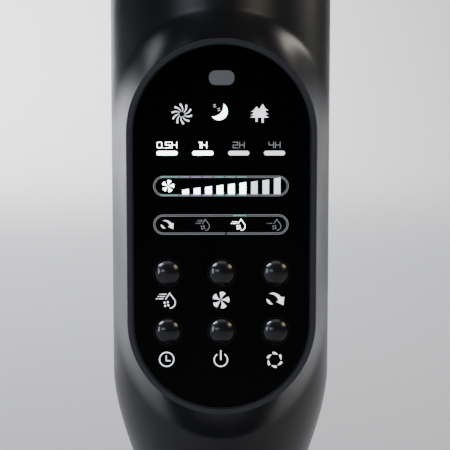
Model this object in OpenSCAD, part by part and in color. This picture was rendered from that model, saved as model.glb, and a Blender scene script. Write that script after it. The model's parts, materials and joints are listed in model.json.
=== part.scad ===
// Slim oscillating tower fan with a mist system.
// Frame: floor at z = 0, tower axis on Z, control panel facing -Y. Millimetres.

/* [Base] */
// Radius of the round base
base_r = 145; // [120:1:175]
// Height of the base's centre platform above the floor
base_top = 38; // [34:1:48]
// Height of the straight rim of the base above its plate
base_rim_h = 14; // [14:1:18]
// Wall of the base cover
base_wall = 3; // [2.5:0.1:3.6]
// Inner radius of the steel ballast ring
ballast_in = 55; // [46:1:66]
// Gap between the ballast ring and the base's outer rim
ballast_gap = 33; // [33:1:45]
// Thickness of the ballast ring
ballast_t = 10; // [8:0.5:11]
// Radius of one rubber foot
foot_r = 9; // [7:0.5:11]
// Number of rubber feet
foot_n = 6; // [4:1:8]

/* [Tower] */
// Outer radius of the tower tube
tower_r = 58; // [57:0.5:70]
// Wall of the tower shells
wall = 2.4; // [2:0.1:3]
// Outer radius of the neck
neck_r = 33; // [31:0.5:40]
// Radius of the neck's foot, where it flares out
neck_foot_r = 40; // [36:0.5:48]
// Height of the neck
neck_h = 48; // [44:1:58]
// Height over which the neck swells to the full tower
taper_h = 107; // [90:1:124]
// Height of the blower section between its end plates
blower_h = 436; // [360:1:560]
// Height of the top cap
cap_h = 50; // [44:1:62]
// Seam between neighbouring shells
seam = 0.3; // [0.2:0.05:0.6]

/* [Control panel] */
// Width of the bezel ring
bezel_w = 94; // [88:0.5:98]
// Height of the bezel ring
bezel_h = 188.5; // [176:0.5:196]
// Width of the ring seen from the front
bezel_rim = 2.7; // [2:0.1:3.2]
// How far the bezel stands proud of the boss
bezel_proud = 2; // [1.5:0.1:3]
// How far the panel's boss stands in front of the tube
boss_proud = 3; // [2.5:0.1:5]
// Height of the panel's middle above the full tower's lower end
panel_rise = 82; // [76:1:94]
// Thickness of the display glass
glass_t = 2.6; // [2:0.1:3]
// Depth of the display glass below the bezel's face
glass_sink = 1.6; // [1:0.1:2]

/* [Buttons] */
// Diameter of a button
button_d = 12.6; // [10.5:0.1:15.2]
// Gap all round a button in the glass
button_gap = 0.7; // [0.4:0.05:0.9]
// Height of a button's dome
button_dome = 2.6; // [2:0.1:3.2]
// Sideways pitch of the buttons, as a share of the bezel's width
button_share = 0.2883; // [0.27:0.0005:0.3]
// Vertical pitch of the buttons
button_pz = 29.6; // [25:0.1:32]
// Height of the upper row above the panel's middle
button_row = -22.2; // [-24:0.1:-20]
// Travel of a button
button_travel = 0.7; // [0.4:0.05:0.9]
// Radius of a button's stem
stem_r = 2.5; // [2:0.1:3.2]
// Clearance of the stem in its guide
stem_clear = 0.08; // [0.05:0.01:0.1]

/* [Blower] */
// Outer radius of the blower wheel
wheel_r = 35; // [29:0.5:36]
// Number of blades
blade_n = 30; // [24:1:36]
// Number of segments of the wheel
segment_n = 7; // [5:1:9]
// Radius of the motor shaft
shaft_r = 4; // [3.3:0.1:4.8]
// Running clearance of the shafts
run_clear = 0.05; // [0.03:0.01:0.08]
// Radius of the fan motor
motor_r = 32; // [27:0.5:38]
// Height of the fan motor
motor_h = 36; // [30:1:40]

/* [Mist system] */
// Gap between the water tank and its bay
tank_gap = 1; // [0.6:0.1:1.6]
// Wall of the water tank
tank_wall = 2.2; // [1.8:0.1:2.6]
// Radius of the tank's outlet spout
spout_r = 6; // [5:0.1:7.2]
// Sliding clearance of the spout in its socket
spout_clear = 0.1; // [0.05:0.01:0.2]
// Outer radius of the mist duct
duct_r = 9; // [7.5:0.1:9.4]

/* [Swing drive] */
// Outer radius of the pivot post
post_r = 16; // [15:0.1:18]
// Teeth of the fixed gear
gear_teeth = 40; // [36:1:44]
// Teeth of the pinion
pinion_teeth = 16; // [14:1:18]
// Module of the teeth
gear_module = 0.8; // [0.7:0.05:0.9]
// Play between the teeth
gear_play = 0.12; // [0.08:0.01:0.2]
// Radius of the swing motor
swing_motor_r = 13; // [11:0.5:14]

/* [Hidden] */
$fn = 48;

// Stack of heights, from the floor up
foot_h = 3;
plate_t = 3;
glide_t = 2;
deck_t = 4;
damper_h = 4;
plate_z = foot_h;
cover_z = plate_z + plate_t;
rim_top = cover_z + base_rim_h;
neck_z0 = base_top + glide_t;
neck_z1 = neck_z0 + neck_h;
taper_z = neck_z1 + taper_h;
panel_z = taper_z + panel_rise;
tank_z0 = panel_z - 60;
tank_z1 = panel_z + 136;
deck_z = tank_z1 + 18;
upper_z = deck_z + deck_t;
motor_z = upper_z + damper_h;
end_plate_z = motor_z + motor_h + 4;
end_plate_t = 3;
blower_z0 = end_plate_z + end_plate_t;
bracket_z = blower_z0 + blower_h;
bracket_t = 4;
shell_top = bracket_z + 17;
cap_top = shell_top + cap_h;

// Radii that follow the tower
boss_y = tower_r + boss_proud;
inner_r = tower_r - wall;
plug_r = inner_r - seam;

// Depths behind the panel's face, all measured along -Y from the axis
bezel_y = boss_y + bezel_proud;
glass_front = bezel_y - glass_sink;
glass_back = glass_front - glass_t;
flange_y = boss_y - wall;
flange_t = 3;
frame_y = flange_y - flange_t;
frame_t = 2;
board_y = glass_back - 10.2;
board_t = 1.6;
flange_w = 1;

/* Shared shapes */

function ease(t) = t * t * (3 - 2 * t);
function body_r(z) = neck_r + (tower_r - neck_r) * ease(min(1, max(0, (z - neck_z1) / taper_h)));
function polar(r, a) = [r * cos(a), r * sin(a)];

// Solid of revolution that follows the lower housing's outline, shrunk by inset
module housing_form(z0, z1, inset = 0, steps = 18) {
    rotate_extrude()
        polygon(concat(
            [[0, z0]],
            [for (i = [0 : steps])
                let (z = z0 + (taper_z - z0) * i / steps)
                [body_r(z) - inset, z]],
            [[tower_r - inset, z1], [0, z1]]
        ));
}

module front_half() {
    translate([-2 * tower_r, -2 * tower_r - seam / 2, 0])
        cube([4 * tower_r, 2 * tower_r, cap_top]);
}

module rear_half() {
    translate([-2 * tower_r, seam / 2, 0])
        cube([4 * tower_r, 2 * tower_r, cap_top]);
}

module tube(r_out, r_in, h) {
    difference() {
        cylinder(r = r_out, h = h);
        translate([0, 0, -1]) cylinder(r = r_in, h = h + 2);
    }
}

// Extrudes a 2D shape drawn in X and Z, from depth y_front back to y_back, both positive forwards
module slab(y_front, y_back) {
    translate([0, -y_back, 0]) rotate([90, 0, 0]) linear_extrude(y_front - y_back) children();
}

// Upright capsule about the panel's middle
module capsule(w, h) {
    translate([0, panel_z]) {
        square([w, h - w], center = true);
        for (side = [-1, 1]) translate([0, side * (h - w) / 2]) circle(d = w);
    }
}

module panel_capsule(grow) {
    capsule(bezel_w + 2 * grow, bezel_h + 2 * grow);
}

module screw(r, length, head_r, head_h) {
    cylinder(r = r, h = length);
    translate([0, 0, -head_h]) cylinder(r = head_r, h = head_h);
}

/* Base */

ballast_out = base_r - ballast_gap;
screw_r = 1.5;
screw_head_r = 2.9;
screw_head_h = 2;
base_screw_r = base_r - 10;
inlet_w = 24;
inlet_h = 12;
inlet_depth = 24;
inlet_z = cover_z + 0.6;
inlet_back = sqrt(pow(base_r, 2) - pow(inlet_w / 2 + 2, 2)) - 0.2;
foot_ring_r = base_r - foot_r - 14;

module feet_places() {
    for (i = [0 : foot_n - 1])
        rotate([0, 0, 360 * (i + 0.5) / foot_n]) translate([foot_ring_r, 0, 0]) children();
}

module base_screw_places() {
    for (i = [0 : 5]) rotate([0, 0, 60 * i]) translate([base_screw_r, 0, 0]) children();
}

module base_plate() {
    color("#1b1c1e")
    difference() {
        translate([0, 0, plate_z]) cylinder(r = base_r - 1.5, h = plate_t);
        feet_places() translate([0, 0, plate_z - 1]) cylinder(r = foot_r, h = 3);
        base_screw_places() {
            translate([0, 0, plate_z - 1]) cylinder(r = screw_r, h = plate_t + 2);
            translate([0, 0, plate_z - 1]) cylinder(r = screw_head_r, h = 3);
        }
    }
}

function cover_profile(inset) = [for (i = [0 : 14])
    let (a = 90 * i / 14, span = base_r - neck_foot_r - 8)
    [neck_foot_r + 8 - inset + span * cos(a), rim_top - inset + (base_top - rim_top) * sin(a)]];

module base_cover() {
    color("#202123")
    difference() {
        union() {
            difference() {
                rotate_extrude() polygon(concat([[0, cover_z], [base_r, cover_z]],
                    cover_profile(0), [[0, base_top]]));
                rotate_extrude() polygon(concat([[0, cover_z - 1], [base_r - base_wall, cover_z - 1]],
                    cover_profile(base_wall), [[0, base_top - base_wall]]));
            }
            intersection() {
                base_screw_places() translate([0, 0, cover_z]) cylinder(r = 4.5, h = base_top);
                rotate_extrude() polygon(concat([[0, cover_z], [base_r - 1, cover_z]],
                    cover_profile(1), [[0, base_top - 1]]));
            }
        }
        base_screw_places() translate([0, 0, cover_z - 1]) cylinder(r = screw_r, h = 8);
        translate([0, 0, base_top - base_wall - 1]) cylinder(r = post_r + 0.2, h = base_wall + 2);
        translate([-inlet_w / 2 - 0.2, inlet_back - inlet_depth, inlet_z - 0.2])
            cube([inlet_w + 0.4, inlet_depth + 20, inlet_h + 0.4]);
    }
}

module ballast_ring() {
    color("#6c7076") translate([0, 0, cover_z + 3]) tube(ballast_out, ballast_in, ballast_t);
    color("#6c7076") for (i = [0 : 2]) rotate([0, 0, 120 * i + 30])
        translate([(ballast_in + ballast_out) / 2, 0, cover_z]) cylinder(r = 6, h = 3 + ballast_t);
}

module base_feet() {
    color("#101010") feet_places() cylinder(r = foot_r, h = plate_z + 2);
}

module base_screws() {
    color("#b9bcc0") base_screw_places() translate([0, 0, plate_z + 2])
        screw(screw_r, 8, screw_head_r, 1.6);
}

module power_inlet() {
    color("#151515")
    translate([0, inlet_back, inlet_z])
    difference() {
        translate([-inlet_w / 2, -inlet_depth, 0]) cube([inlet_w, inlet_depth, inlet_h]);
        translate([0, 1, inlet_h / 2]) rotate([90, 0, 0]) linear_extrude(14) {
            square([7.6, 7.2], center = true);
            for (side = [-1, 1]) translate([side * 3.8, 0]) circle(d = 7.2);
        }
    }
    color("#c8c9cc")
    for (side = [-1, 1]) translate([side * 3.3, inlet_back - 13, inlet_z + inlet_h / 2])
        rotate([-90, 0, 0]) cylinder(r = 1.2, h = 10);
}

/* Swivel: post, bush, gear and motor */

post_bore = 8;
post_low = base_top - base_wall - 4;
bush_t = 3;
bush_h = neck_h + 8;
retainer_z = neck_z0 + bush_h + 1;
post_step = retainer_z + 3;
gear_seat_r = min(post_r - 4, gear_module * gear_teeth / 2 - 4);
gear_z = max(post_step + 1, neck_z1 + taper_h * 0.37);
gear_t = 6;
bracket_low = gear_z + gear_t + 3;
gear_distance = gear_module * (gear_teeth + pinion_teeth) / 2 + 0.02;

module pivot_post() {
    color("#8d9197")
    difference() {
        union() {
            translate([0, 0, post_low]) cylinder(r = post_r + 12, h = 4);
            translate([0, 0, post_low]) cylinder(r = post_r, h = post_step - post_low);
            translate([0, 0, post_low]) cylinder(r = gear_seat_r, h = gear_z + gear_t + 2 - post_low);
        }
        translate([0, 0, post_low - 1]) cylinder(r = post_bore, h = gear_z + gear_t + 10);
    }
}

module glide_ring() {
    color("#d9d9d6") translate([0, 0, base_top]) tube(neck_r - 2, post_r + 4, glide_t);
}

module retainer_ring() {
    color("#a4a7ab") translate([0, 0, retainer_z]) tube(post_r + 5, post_r, 3);
}

function involute(r, base) = let (a = acos(min(1, base / r))) tan(a) * 180 / PI - a;

// One toothed outline by the involute of a 20 degree rack
function gear_points(teeth) =
    let (
        pitch = gear_module * teeth / 2,
        base = pitch * cos(20),
        root = pitch - 1.1 * gear_module,
        tip = pitch + 0.85 * gear_module,
        start = max(base, root),
        half = 90 / teeth - gear_play / 2 / pitch * 180 / PI,
        radii = [for (i = [0 : 4]) start + (tip - start) * i / 4],
        spread = [for (r = radii) half + involute(pitch, base) - involute(r, base)]
    )
    [for (k = [0 : teeth - 1])
        let (mid = 360 * k / teeth)
        each concat(
            [polar(root, mid - spread[0])],
            [for (i = [0 : 4]) polar(radii[i], mid - spread[i])],
            [for (i = [4 : -1 : 0]) polar(radii[i], mid + spread[i])],
            [polar(root, mid + spread[0])]
        )];

module swing_gear() {
    color("#e4e2da")
    translate([0, 0, gear_z])
    difference() {
        rotate([0, 0, 90 + (gear_teeth % 2 == 0 ? 180 / gear_teeth : 0)])
            linear_extrude(gear_t) polygon(gear_points(gear_teeth));
        translate([0, 0, -1]) cylinder(r = gear_seat_r, h = gear_t + 2);
    }
}

module swing_pinion() {
    color("#e4e2da")
    translate([0, gear_distance, gear_z]) {
        rotate([0, 0, 90 + (pinion_teeth % 2 == 0 ? 0 : 180 / pinion_teeth)])
            linear_extrude(gear_t) polygon(gear_points(pinion_teeth));
        cylinder(r = 2.5, h = gear_t + 12);
    }
}

module swing_motor() {
    color("#9a9da1")
    translate([0, gear_distance, bracket_low + 3])
    difference() {
        cylinder(r = swing_motor_r, h = 18);
        translate([0, 0, -1]) cylinder(r = 2.5 + run_clear, h = 12);
    }
}

module swing_bracket() {
    color("#2a2b2d")
    translate([0, 0, bracket_low])
    difference() {
        cylinder(r = body_r(bracket_low) - wall - 0.6, h = 3);
        translate([0, 0, -1]) cylinder(r = 7, h = 5);
        translate([0, gear_distance, -1]) cylinder(r = 4, h = 5);
    }
}

module swivel_bush() {
    color("#d9d9d6") translate([0, 0, neck_z0])
        tube(post_r + run_clear + bush_t, post_r + run_clear, bush_h);
}

module neck_collar() {
    spigot_r = neck_r - wall - seam;
    color("#202123")
    difference() {
        union() {
            rotate_extrude() polygon(concat(
                [[0, neck_z0]],
                [for (i = [0 : 10])
                    let (t = i / 10)
                    [neck_r + (neck_foot_r - neck_r) * pow(1 - t, 2.4), neck_z0 + neck_h * t]],
                [[0, neck_z1]]
            ));
            translate([0, 0, neck_z1 - 4]) cylinder(r = spigot_r, h = 16);
        }
        translate([0, 0, neck_z0 - 1]) cylinder(r = post_r + run_clear + bush_t, h = neck_h + 60);
        difference() {
            translate([0, 0, neck_z0 + 3]) cylinder(r = spigot_r - 2.2, h = neck_h + 60);
            cylinder(r = post_r + run_clear + bush_t + 2.5, h = neck_z1);
        }
    }
}

/* Lower housing: front half with the panel boss, rear half with the tank bay */

// How far the boss spreads past the bezel, at sides and ends, at growing depths behind its face
boss_layers = [[0.8, 0.8, 0], [4.2, 6.5, 3], [7, 18, 9], [8.4, 26, 15.5], [9.3, 28, 30]];
nozzle_z = tank_z1 - 2;
nozzle_w = 32;
nozzle_h = 12;
bay_front = 5.4;
bay_wall = 2.4;
post_side = 30;
post_screw_z = [neck_z1 + taper_h * 0.62, deck_z - 6];

// Convex boss that carries the flat panel and falls back to the tube
module boss_form(inset) {
    thin = 0.1;
    hull() for (layer = boss_layers)
        slab(boss_y - layer[2] - inset, boss_y - layer[2] - inset - thin)
            capsule(min(bezel_w + 2 * layer[0], 2 * tower_r - 0.8) - 2 * inset,
                bezel_h + 2 * (layer[1] - inset));
}

// Row of screw posts on both sides of the seam plane, running to the front or the rear
module screw_posts(side, heights, depth) {
    for (z = heights, x = [-side, side])
        translate([x, 0, z]) rotate([depth > 0 ? -90 : 90, 0, 0])
            translate([0, 0, seam / 2]) cylinder(r = 4.2, h = abs(depth));
}

module screw_lines(side, heights, r, from_y, to_y) {
    for (z = heights, x = [-side, side])
        translate([x, from_y, z]) rotate([-90, 0, 0]) cylinder(r = r, h = to_y - from_y);
}

module ledge(low) {
    translate([0, 0, low - 3]) tube(body_r(low) - wall / 2, body_r(low) - wall - 4, 3);
}

module front_housing() {
    color("#232426")
    difference() {
        union() {
            difference() {
                union() {
                    housing_form(neck_z1, deck_z);
                    boss_form(0);
                }
                housing_form(neck_z1 - 1, deck_z + 1, wall);
                boss_form(wall);
                slab(flange_y, boss_y * 0.5) panel_capsule(flange_w + 0.2);
            }
            ledge(bracket_low);
            intersection() {
                housing_form(neck_z1, deck_z, wall / 2);
                screw_posts(post_side, post_screw_z, -tower_r);
            }
            intersection() {
                boss_form(wall / 2);
                for (side = [-1, 1], up = [-1, 1])
                    translate([side > 0 ? bezel_w / 2 - 2 : -tower_r, -frame_y + frame_t + 0.1,
                        panel_z + up * 40 - 6]) cube([tower_r - bezel_w / 2 + 2, 1.6, 12]);
            }
        }
        rear_cut();
        slab(boss_y + 1, boss_y - 20) panel_capsule(0.2);
        screw_lines(post_side, post_screw_z, 1.2, -12, 1);
        translate([-nozzle_w / 2 - 0.2, -tower_r - 10, nozzle_z - nozzle_h / 2 - 0.2])
            cube([nozzle_w + 0.4, 40, nozzle_h + 0.4]);
    }
}

module rear_cut() {
    translate([-2 * tower_r, -seam / 2, 0]) cube([4 * tower_r, 4 * tower_r, cap_top]);
}

module front_cut() {
    translate([-2 * tower_r, seam / 2 - 4 * tower_r, 0]) cube([4 * tower_r, 4 * tower_r, cap_top]);
}

module rear_housing() {
    color("#232426")
    difference() {
        union() {
            difference() {
                housing_form(neck_z1, deck_z);
                housing_form(neck_z1 - 1, deck_z + 1, wall);
            }
            intersection() {
                housing_form(neck_z1, deck_z, wall / 2);
                union() {
                    translate([-tower_r, bay_front - bay_wall, tank_z0 - bay_wall])
                        cube([2 * tower_r, bay_wall, deck_z - tank_z0 + bay_wall]);
                    for (z = [tank_z0 - bay_wall, tank_z1])
                        translate([-tower_r, bay_front - bay_wall, z])
                            cube([2 * tower_r, 2 * tower_r, bay_wall]);
                    screw_posts(post_side, post_screw_z, tower_r);
                }
            }
            ledge(bracket_low);
        }
        front_cut();
        translate([-2 * tower_r, bay_front, tank_z0])
            cube([4 * tower_r, 2 * tower_r, tank_z1 - tank_z0]);
        screw_lines(post_side, post_screw_z, screw_r, -1, tower_r + 1);
        screw_lines(post_side, post_screw_z, screw_head_r + 0.3, 18, tower_r + 1);
        translate([socket_x, 0, socket_z]) rotate([-90, 0, 0]) cylinder(r = spout_r + 3.4, h = 20);
    }
}

module housing_screws() {
    color("#3a3b3d") for (z = post_screw_z, x = [-post_side, post_side])
        translate([x, 18, z]) rotate([90, 0, 0]) screw(1.2, 28, screw_head_r, 2);
    color("#3a3b3d") for (z = shell_screw_z, x = [-shell_side, shell_side])
        translate([x, 14, z]) rotate([90, 0, 0]) screw(1.2, 24, screw_head_r, 2);
}

/* Control panel */

ledge_w = 3;
module bezel() {
    color("#303236")
    difference() {
        union() {
            slab(bezel_y, frame_y) panel_capsule(0);
            slab(flange_y, frame_y) panel_capsule(flange_w);
        }
        slab(bezel_y + 1, glass_back) panel_capsule(-bezel_rim);
        slab(bezel_y + 1, frame_y - 1) panel_capsule(-bezel_rim - ledge_w);
    }
}

button_r = button_d / 2;
button_px = bezel_w * button_share;
button_hole = button_r + button_gap;
button_flange_t = 1.2;
switch_h = 2.4;
button_names = [
    ["mist_button", -1, 0], ["speed_button", 0, 0], ["swing_button", 1, 0],
    ["timer_button", -1, 1], ["power_button", 0, 1], ["mode_button", 1, 1]
];
stem_end = board_y + board_t + switch_h + 1.1 + button_travel + 0.1;

module at_button(column, row) {
    translate([column * button_px, 0, panel_z + button_row - row * button_pz]) children();
}

module at_buttons() {
    for (b = button_names) at_button(b[1], b[2]) children();
}

// Round peg along -Y between two depths
module peg(r, y_front, y_back) {
    translate([0, -y_back, 0]) rotate([90, 0, 0]) cylinder(r = r, h = y_front - y_back);
}

module display_glass() {
    color("#050506")
    difference() {
        slab(glass_front, glass_back) panel_capsule(-bezel_rim - 0.2);
        at_buttons() peg(button_hole, glass_front + 1, glass_back - 1);
    }
}

// Domed cap, flange that stops behind the glass, and stem
module button(column, row) {
    skirt = 0.5;
    dome_r = (pow(button_r, 2) + pow(button_dome, 2)) / (2 * button_dome);
    color("#1d1e21")
    at_button(column, row) {
        intersection() {
            translate([0, -(glass_front + skirt + button_dome - dome_r), 0]) sphere(r = dome_r);
            peg(button_r, glass_front + 10, glass_back - 0.2);
        }
        peg(button_r + 2, glass_back - 0.1, glass_back - 0.1 - button_flange_t);
        peg(stem_r, glass_back - 0.2, stem_end);
    }
}

module panel_frame() {
    color("#18191a")
    difference() {
        union() {
            slab(frame_y, frame_y - frame_t) panel_capsule(-1.2);
            at_buttons() peg(stem_r + 2, frame_y + 0.9, frame_y - frame_t);
            for (x = [-1, 1], z = board_screw_z)
                translate([x * board_screw_x, 0, z]) peg(3, frame_y - 0.5, board_y + board_t);
        }
        at_buttons() peg(stem_r + stem_clear, frame_y + 2, frame_y - frame_t - 1);
        slab(frame_y + 1, frame_y - frame_t - 1) translate([0, light_z])
            square([light_w + 0.4, light_h + 0.4], center = true);
        for (x = [-1, 1], z = board_screw_z)
            translate([x * board_screw_x, 0, z]) peg(1.2, frame_y - 1, board_y - 1);
    }
}

light_w = bezel_w - 24;
board_w = bezel_w - 18;
light_h = 76;
light_z = panel_z + 29;
board_screw_x = board_w / 2 - 4.5;
board_screw_z = [panel_z - 66, panel_z + 73];
// Lamp rows: how many, their pitch, their height above the panel's middle and their shift
led_rows = [[3, 19.4, 57, -0.3], [4, 18, 38, 0], [9, 5.65, 21, 4.9], [4, 17.7, 1.7, 0]];

module led_places() {
    for (row = led_rows, i = [0 : row[0] - 1])
        translate([((i - (row[0] - 1) / 2) * row[1] + row[3]) * light_w / 70, 0, panel_z + row[2]])
            children();
}

// Black block with one light well for each lamp
module light_box() {
    color("#e9e9e6")
    difference() {
        slab(glass_back - 0.1, board_y + board_t) translate([0, light_z])
            square([light_w, light_h], center = true);
        led_places() peg(2.4, glass_back + 1, board_y);
    }
}

module display_leds() {
    color("#f4f6ee") led_places() translate([-1.6, -board_y - board_t - 1, -1]) cube([3.2, 1, 2]);
}

module control_board() {
    color("#1f5b3a")
    difference() {
        slab(board_y + board_t, board_y) translate([0, panel_z + 2]) square([board_w, 152], center = true);
        for (x = [-1, 1], z = board_screw_z)
            translate([x * board_screw_x, 0, z]) peg(screw_r, board_y + 4, board_y - 2);
    }
}

module tact_switches() {
    color("#2c2c2e") at_buttons() {
        slab(board_y + board_t + switch_h, board_y + board_t) square(6, center = true);
        peg(1.7, board_y + board_t + switch_h + 1.1, board_y + board_t + 1);
    }
}

module board_screws() {
    color("#b9bcc0") for (x = [-1, 1], z = board_screw_z) translate([x * board_screw_x, 0, z]) {
        peg(screw_head_r, board_y, board_y - 1.8);
        peg(1.2, board_y + board_t + 3, board_y - 0.5);
    }
}

/* Mist system */

socket_x = -18;
socket_z = tank_z0 + 16;
basin_back = 4;
basin_front = 38;
basin_x0 = -39;
basin_w = 42;
basin_z = tank_z0 + 6;
basin_h = 28;
duct_x = -26;
duct_y = -21;
duct_top = nozzle_z - nozzle_h / 2 - 4;
maker_x = -24;

module mist_basin() {
    color("#dfe2e2")
    difference() {
        union() {
            translate([basin_x0, -basin_front, basin_z]) cube([basin_w, basin_front - basin_back, basin_h]);
            translate([socket_x, -basin_back - 1, socket_z]) rotate([-90, 0, 0])
                cylinder(r = spout_r + 2.5, h = basin_back + 1 + bay_front - bay_wall - 0.4);
        }
        translate([basin_x0 + 2, -basin_front + 2, basin_z + 3])
            cube([basin_w - 4, basin_front - basin_back - 4.4, basin_h]);
        translate([socket_x, -basin_back - 5, socket_z]) rotate([-90, 0, 0]) cylinder(r = 4.2, h = 20);
        translate([socket_x, -basin_back, socket_z]) rotate([-90, 0, 0])
            cylinder(r = spout_r + spout_clear, h = 20);
        translate([maker_x, duct_y, basin_z - 1]) cylinder(r = 9, h = 6);
    }
}

module mist_maker() {
    color("#b4b7b3")
    translate([maker_x, duct_y, basin_z - 6]) {
        cylinder(r = 11, h = 6);
        cylinder(r = 9, h = 10);
    }
}

module spout_seal() {
    color("#3c3c3c") translate([socket_x, -basin_back, socket_z]) rotate([-90, 0, 0])
        tube(spout_r + spout_clear, 4.2, 0.9);
}

module mist_duct() {
    low = basin_z + basin_h;
    color("#dfe2e2")
    difference() {
        union() {
            translate([basin_x0, -basin_front, low])
                cube([basin_w, basin_front - basin_back, 2.4]);
            translate([duct_x, duct_y, low]) cylinder(r = duct_r, h = duct_top - low);
        }
        translate([duct_x, duct_y, low - 1]) cylinder(r = duct_r - 1.6, h = duct_top);
    }
}

// Plenum over the duct, with a vaned mouth in the front shell
module mist_nozzle() {
    plenum_x = 38;
    plenum_front = 38;
    plenum_back = 8;
    color("#26272a")
    difference() {
        union() {
            translate([-plenum_x, -plenum_front, duct_top])
                cube([plenum_x + nozzle_w / 2, plenum_front - plenum_back, nozzle_h + 7]);
            intersection() {
                translate([-nozzle_w / 2, -tower_r - 10, nozzle_z - nozzle_h / 2])
                    cube([nozzle_w, tower_r + 10 - plenum_front + 1, nozzle_h]);
                translate([0, 0, duct_top - 10]) cylinder(r = tower_r + 0.8, h = 50);
            }
        }
        translate([-plenum_x + 2, -plenum_front + 2, duct_top + 2])
            cube([plenum_x + nozzle_w / 2 - 4, plenum_front - plenum_back - 4, nozzle_h + 3]);
        translate([duct_x, duct_y, duct_top - 1]) cylinder(r = duct_r - 1.6, h = 5);
        for (i = [-3 : 3]) translate([i * 4.2 - 1.5, -tower_r - 10, nozzle_z - 4])
            cube([3, tower_r + 12 - plenum_front, 8]);
    }
}

cap_x = 0;
cap_y = 30;
cap_r = 14.5;
cap_well = 16;
grip_w = 44;
grip_h = 28;
grip_z = panel_z - 4;
grip_depth = 12;

module tank_form(inset) {
    translate([0, 0, tank_z0 + tank_gap + inset])
    intersection() {
        cylinder(r = tower_r - inset, h = tank_z1 - tank_z0 - 2 * tank_gap - 2 * inset);
        translate([-2 * tower_r, bay_front + 0.6 + inset, 0])
            cube([4 * tower_r, 2 * tower_r, tank_z1]);
    }
}

module grip_form(grow) {
    translate([-grip_w / 2 - grow, tower_r - grip_depth - grow, grip_z - grip_h / 2 - grow])
        cube([grip_w + 2 * grow, grip_depth + 20, grip_h + 2 * grow]);
}

module water_tank() {
    top = tank_z1 - tank_gap;
    color("#7f8c93", 0.6)
    difference() {
        union() {
            difference() {
                tank_form(0);
                difference() {
                    tank_form(tank_wall);
                    grip_form(tank_wall);
                    translate([cap_x, cap_y, top - cap_well - tank_wall])
                        cylinder(r = cap_r + 2.5 + tank_wall, h = 60);
                }
                grip_form(0);
                translate([cap_x, cap_y, top - cap_well]) cylinder(r = cap_r + 2.5, h = 60);
            }
            translate([cap_x, cap_y, top - cap_well - 1]) cylinder(r = cap_r - 3, h = 10);
            translate([socket_x, bay_front + 1.2, socket_z]) rotate([90, 0, 0])
                cylinder(r = spout_r, h = bay_front + 1.2 + basin_back - 1);
        }
        translate([cap_x, cap_y, top - cap_well - 10]) cylinder(r = cap_r - 5, h = 60);
        translate([socket_x, bay_front + 10, socket_z]) rotate([90, 0, 0])
            cylinder(r = 4.2, h = 40);
    }
}

module tank_cap() {
    top = tank_z1 - tank_gap;
    color("#4d565b")
    translate([cap_x, cap_y, top - cap_well + 1]) {
        difference() {
            cylinder(r = cap_r, h = 11);
            translate([0, 0, -1]) cylinder(r = cap_r - 3 + run_clear, h = 9.4);
        }
        translate([-cap_r + 3, -1.6, 11]) cube([2 * cap_r - 6, 3.2, 3]);
    }
}

/* Mains electronics */

main_x0 = -8;
main_w = 50;
main_z0 = panel_z - 14;
main_h = 124;
main_y = -22;

module main_board() {
    color("#1f5b3a") translate([main_x0, main_y, main_z0]) cube([main_w, 1.6, main_h]);
}

// Transformer, relays, capacitors and sockets on the main board
module board_components() {
    back = main_y + 1.6;
    color("#caa23a") translate([main_x0 + 6, back, main_z0 + 8]) cube([26, 17, 22]);
    color("#2b3e63") for (i = [0 : 1]) translate([main_x0 + 8 + 22 * i, back, main_z0 + 38])
        cube([16, 12, 19]);
    color("#30343a") for (i = [0 : 2]) translate([main_x0 + 11 + 14 * i, back, main_z0 + 72])
        rotate([-90, 0, 0]) cylinder(r = 5, h = 15);
    color("#efeee6") for (i = [0 : 3]) translate([main_x0 + 5 + 11 * i, back, main_z0 + 104]) cube([8, 8, 6]);
}

/* Fan motor and blower */

damper_ring = motor_r - 9;

module damper_places() {
    for (i = [0 : 3]) rotate([0, 0, 45 + 90 * i]) translate([damper_ring, 0, 0]) children();
}

module motor_deck() {
    color("#2a2b2d")
    translate([0, 0, deck_z])
    difference() {
        cylinder(r = tower_r - 1, h = deck_t);
        translate([0, 0, -1]) cylinder(r = 9, h = deck_t + 2);
        damper_places() translate([0, 0, -1]) cylinder(r = screw_r, h = deck_t + 2);
    }
}

module motor_dampers() {
    color("#1a1a1a") damper_places() translate([0, 0, upper_z]) tube(5, screw_r, damper_h);
}

module motor_screws() {
    color("#b9bcc0") damper_places() translate([0, 0, deck_z])
        screw(screw_r, deck_t + damper_h + 8, screw_head_r, screw_head_h);
}

module fan_motor() {
    color("#7d8085")
    translate([0, 0, motor_z])
    difference() {
        union() {
            cylinder(r = motor_r, h = motor_h - 6);
            cylinder(r = motor_r * 0.45, h = motor_h);
        }
        translate([0, 0, 4]) cylinder(r = shaft_r + run_clear, h = motor_h);
        damper_places() translate([0, 0, -1]) cylinder(r = screw_r, h = 9);
    }
}

module end_plate() {
    color("#2a2b2d") translate([0, 0, end_plate_z]) tube(plug_r, shaft_r + 4, end_plate_t);
}

wheel_y = 6;
wheel_gap = 5;
wheel_z0 = blower_z0 + wheel_gap;
wheel_h = blower_h - 2 * wheel_gap;
blade_depth = 7.5;
blade_t = 1;
disc_t = 1.6;
hub_h = 14;
bush_r = shaft_r + 5;

// Points of a strip of even thickness along a line of points
function strip(points, t) =
    let (n = len(points))
    let (normals = [for (i = [0 : n - 1])
        let (d = points[min(n - 1, i + 1)] - points[max(0, i - 1)]) [-d[1], d[0]] / norm(d)])
    concat(
        [for (i = [0 : n - 1]) points[i] + normals[i] * t / 2],
        [for (i = [n - 1 : -1 : 0]) points[i] - normals[i] * t / 2]
    );

function blade_line() = [for (i = [0 : 4])
    let (u = i / 4)
    polar(wheel_r - blade_depth * (1 - u), -16 * u * u)];

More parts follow.
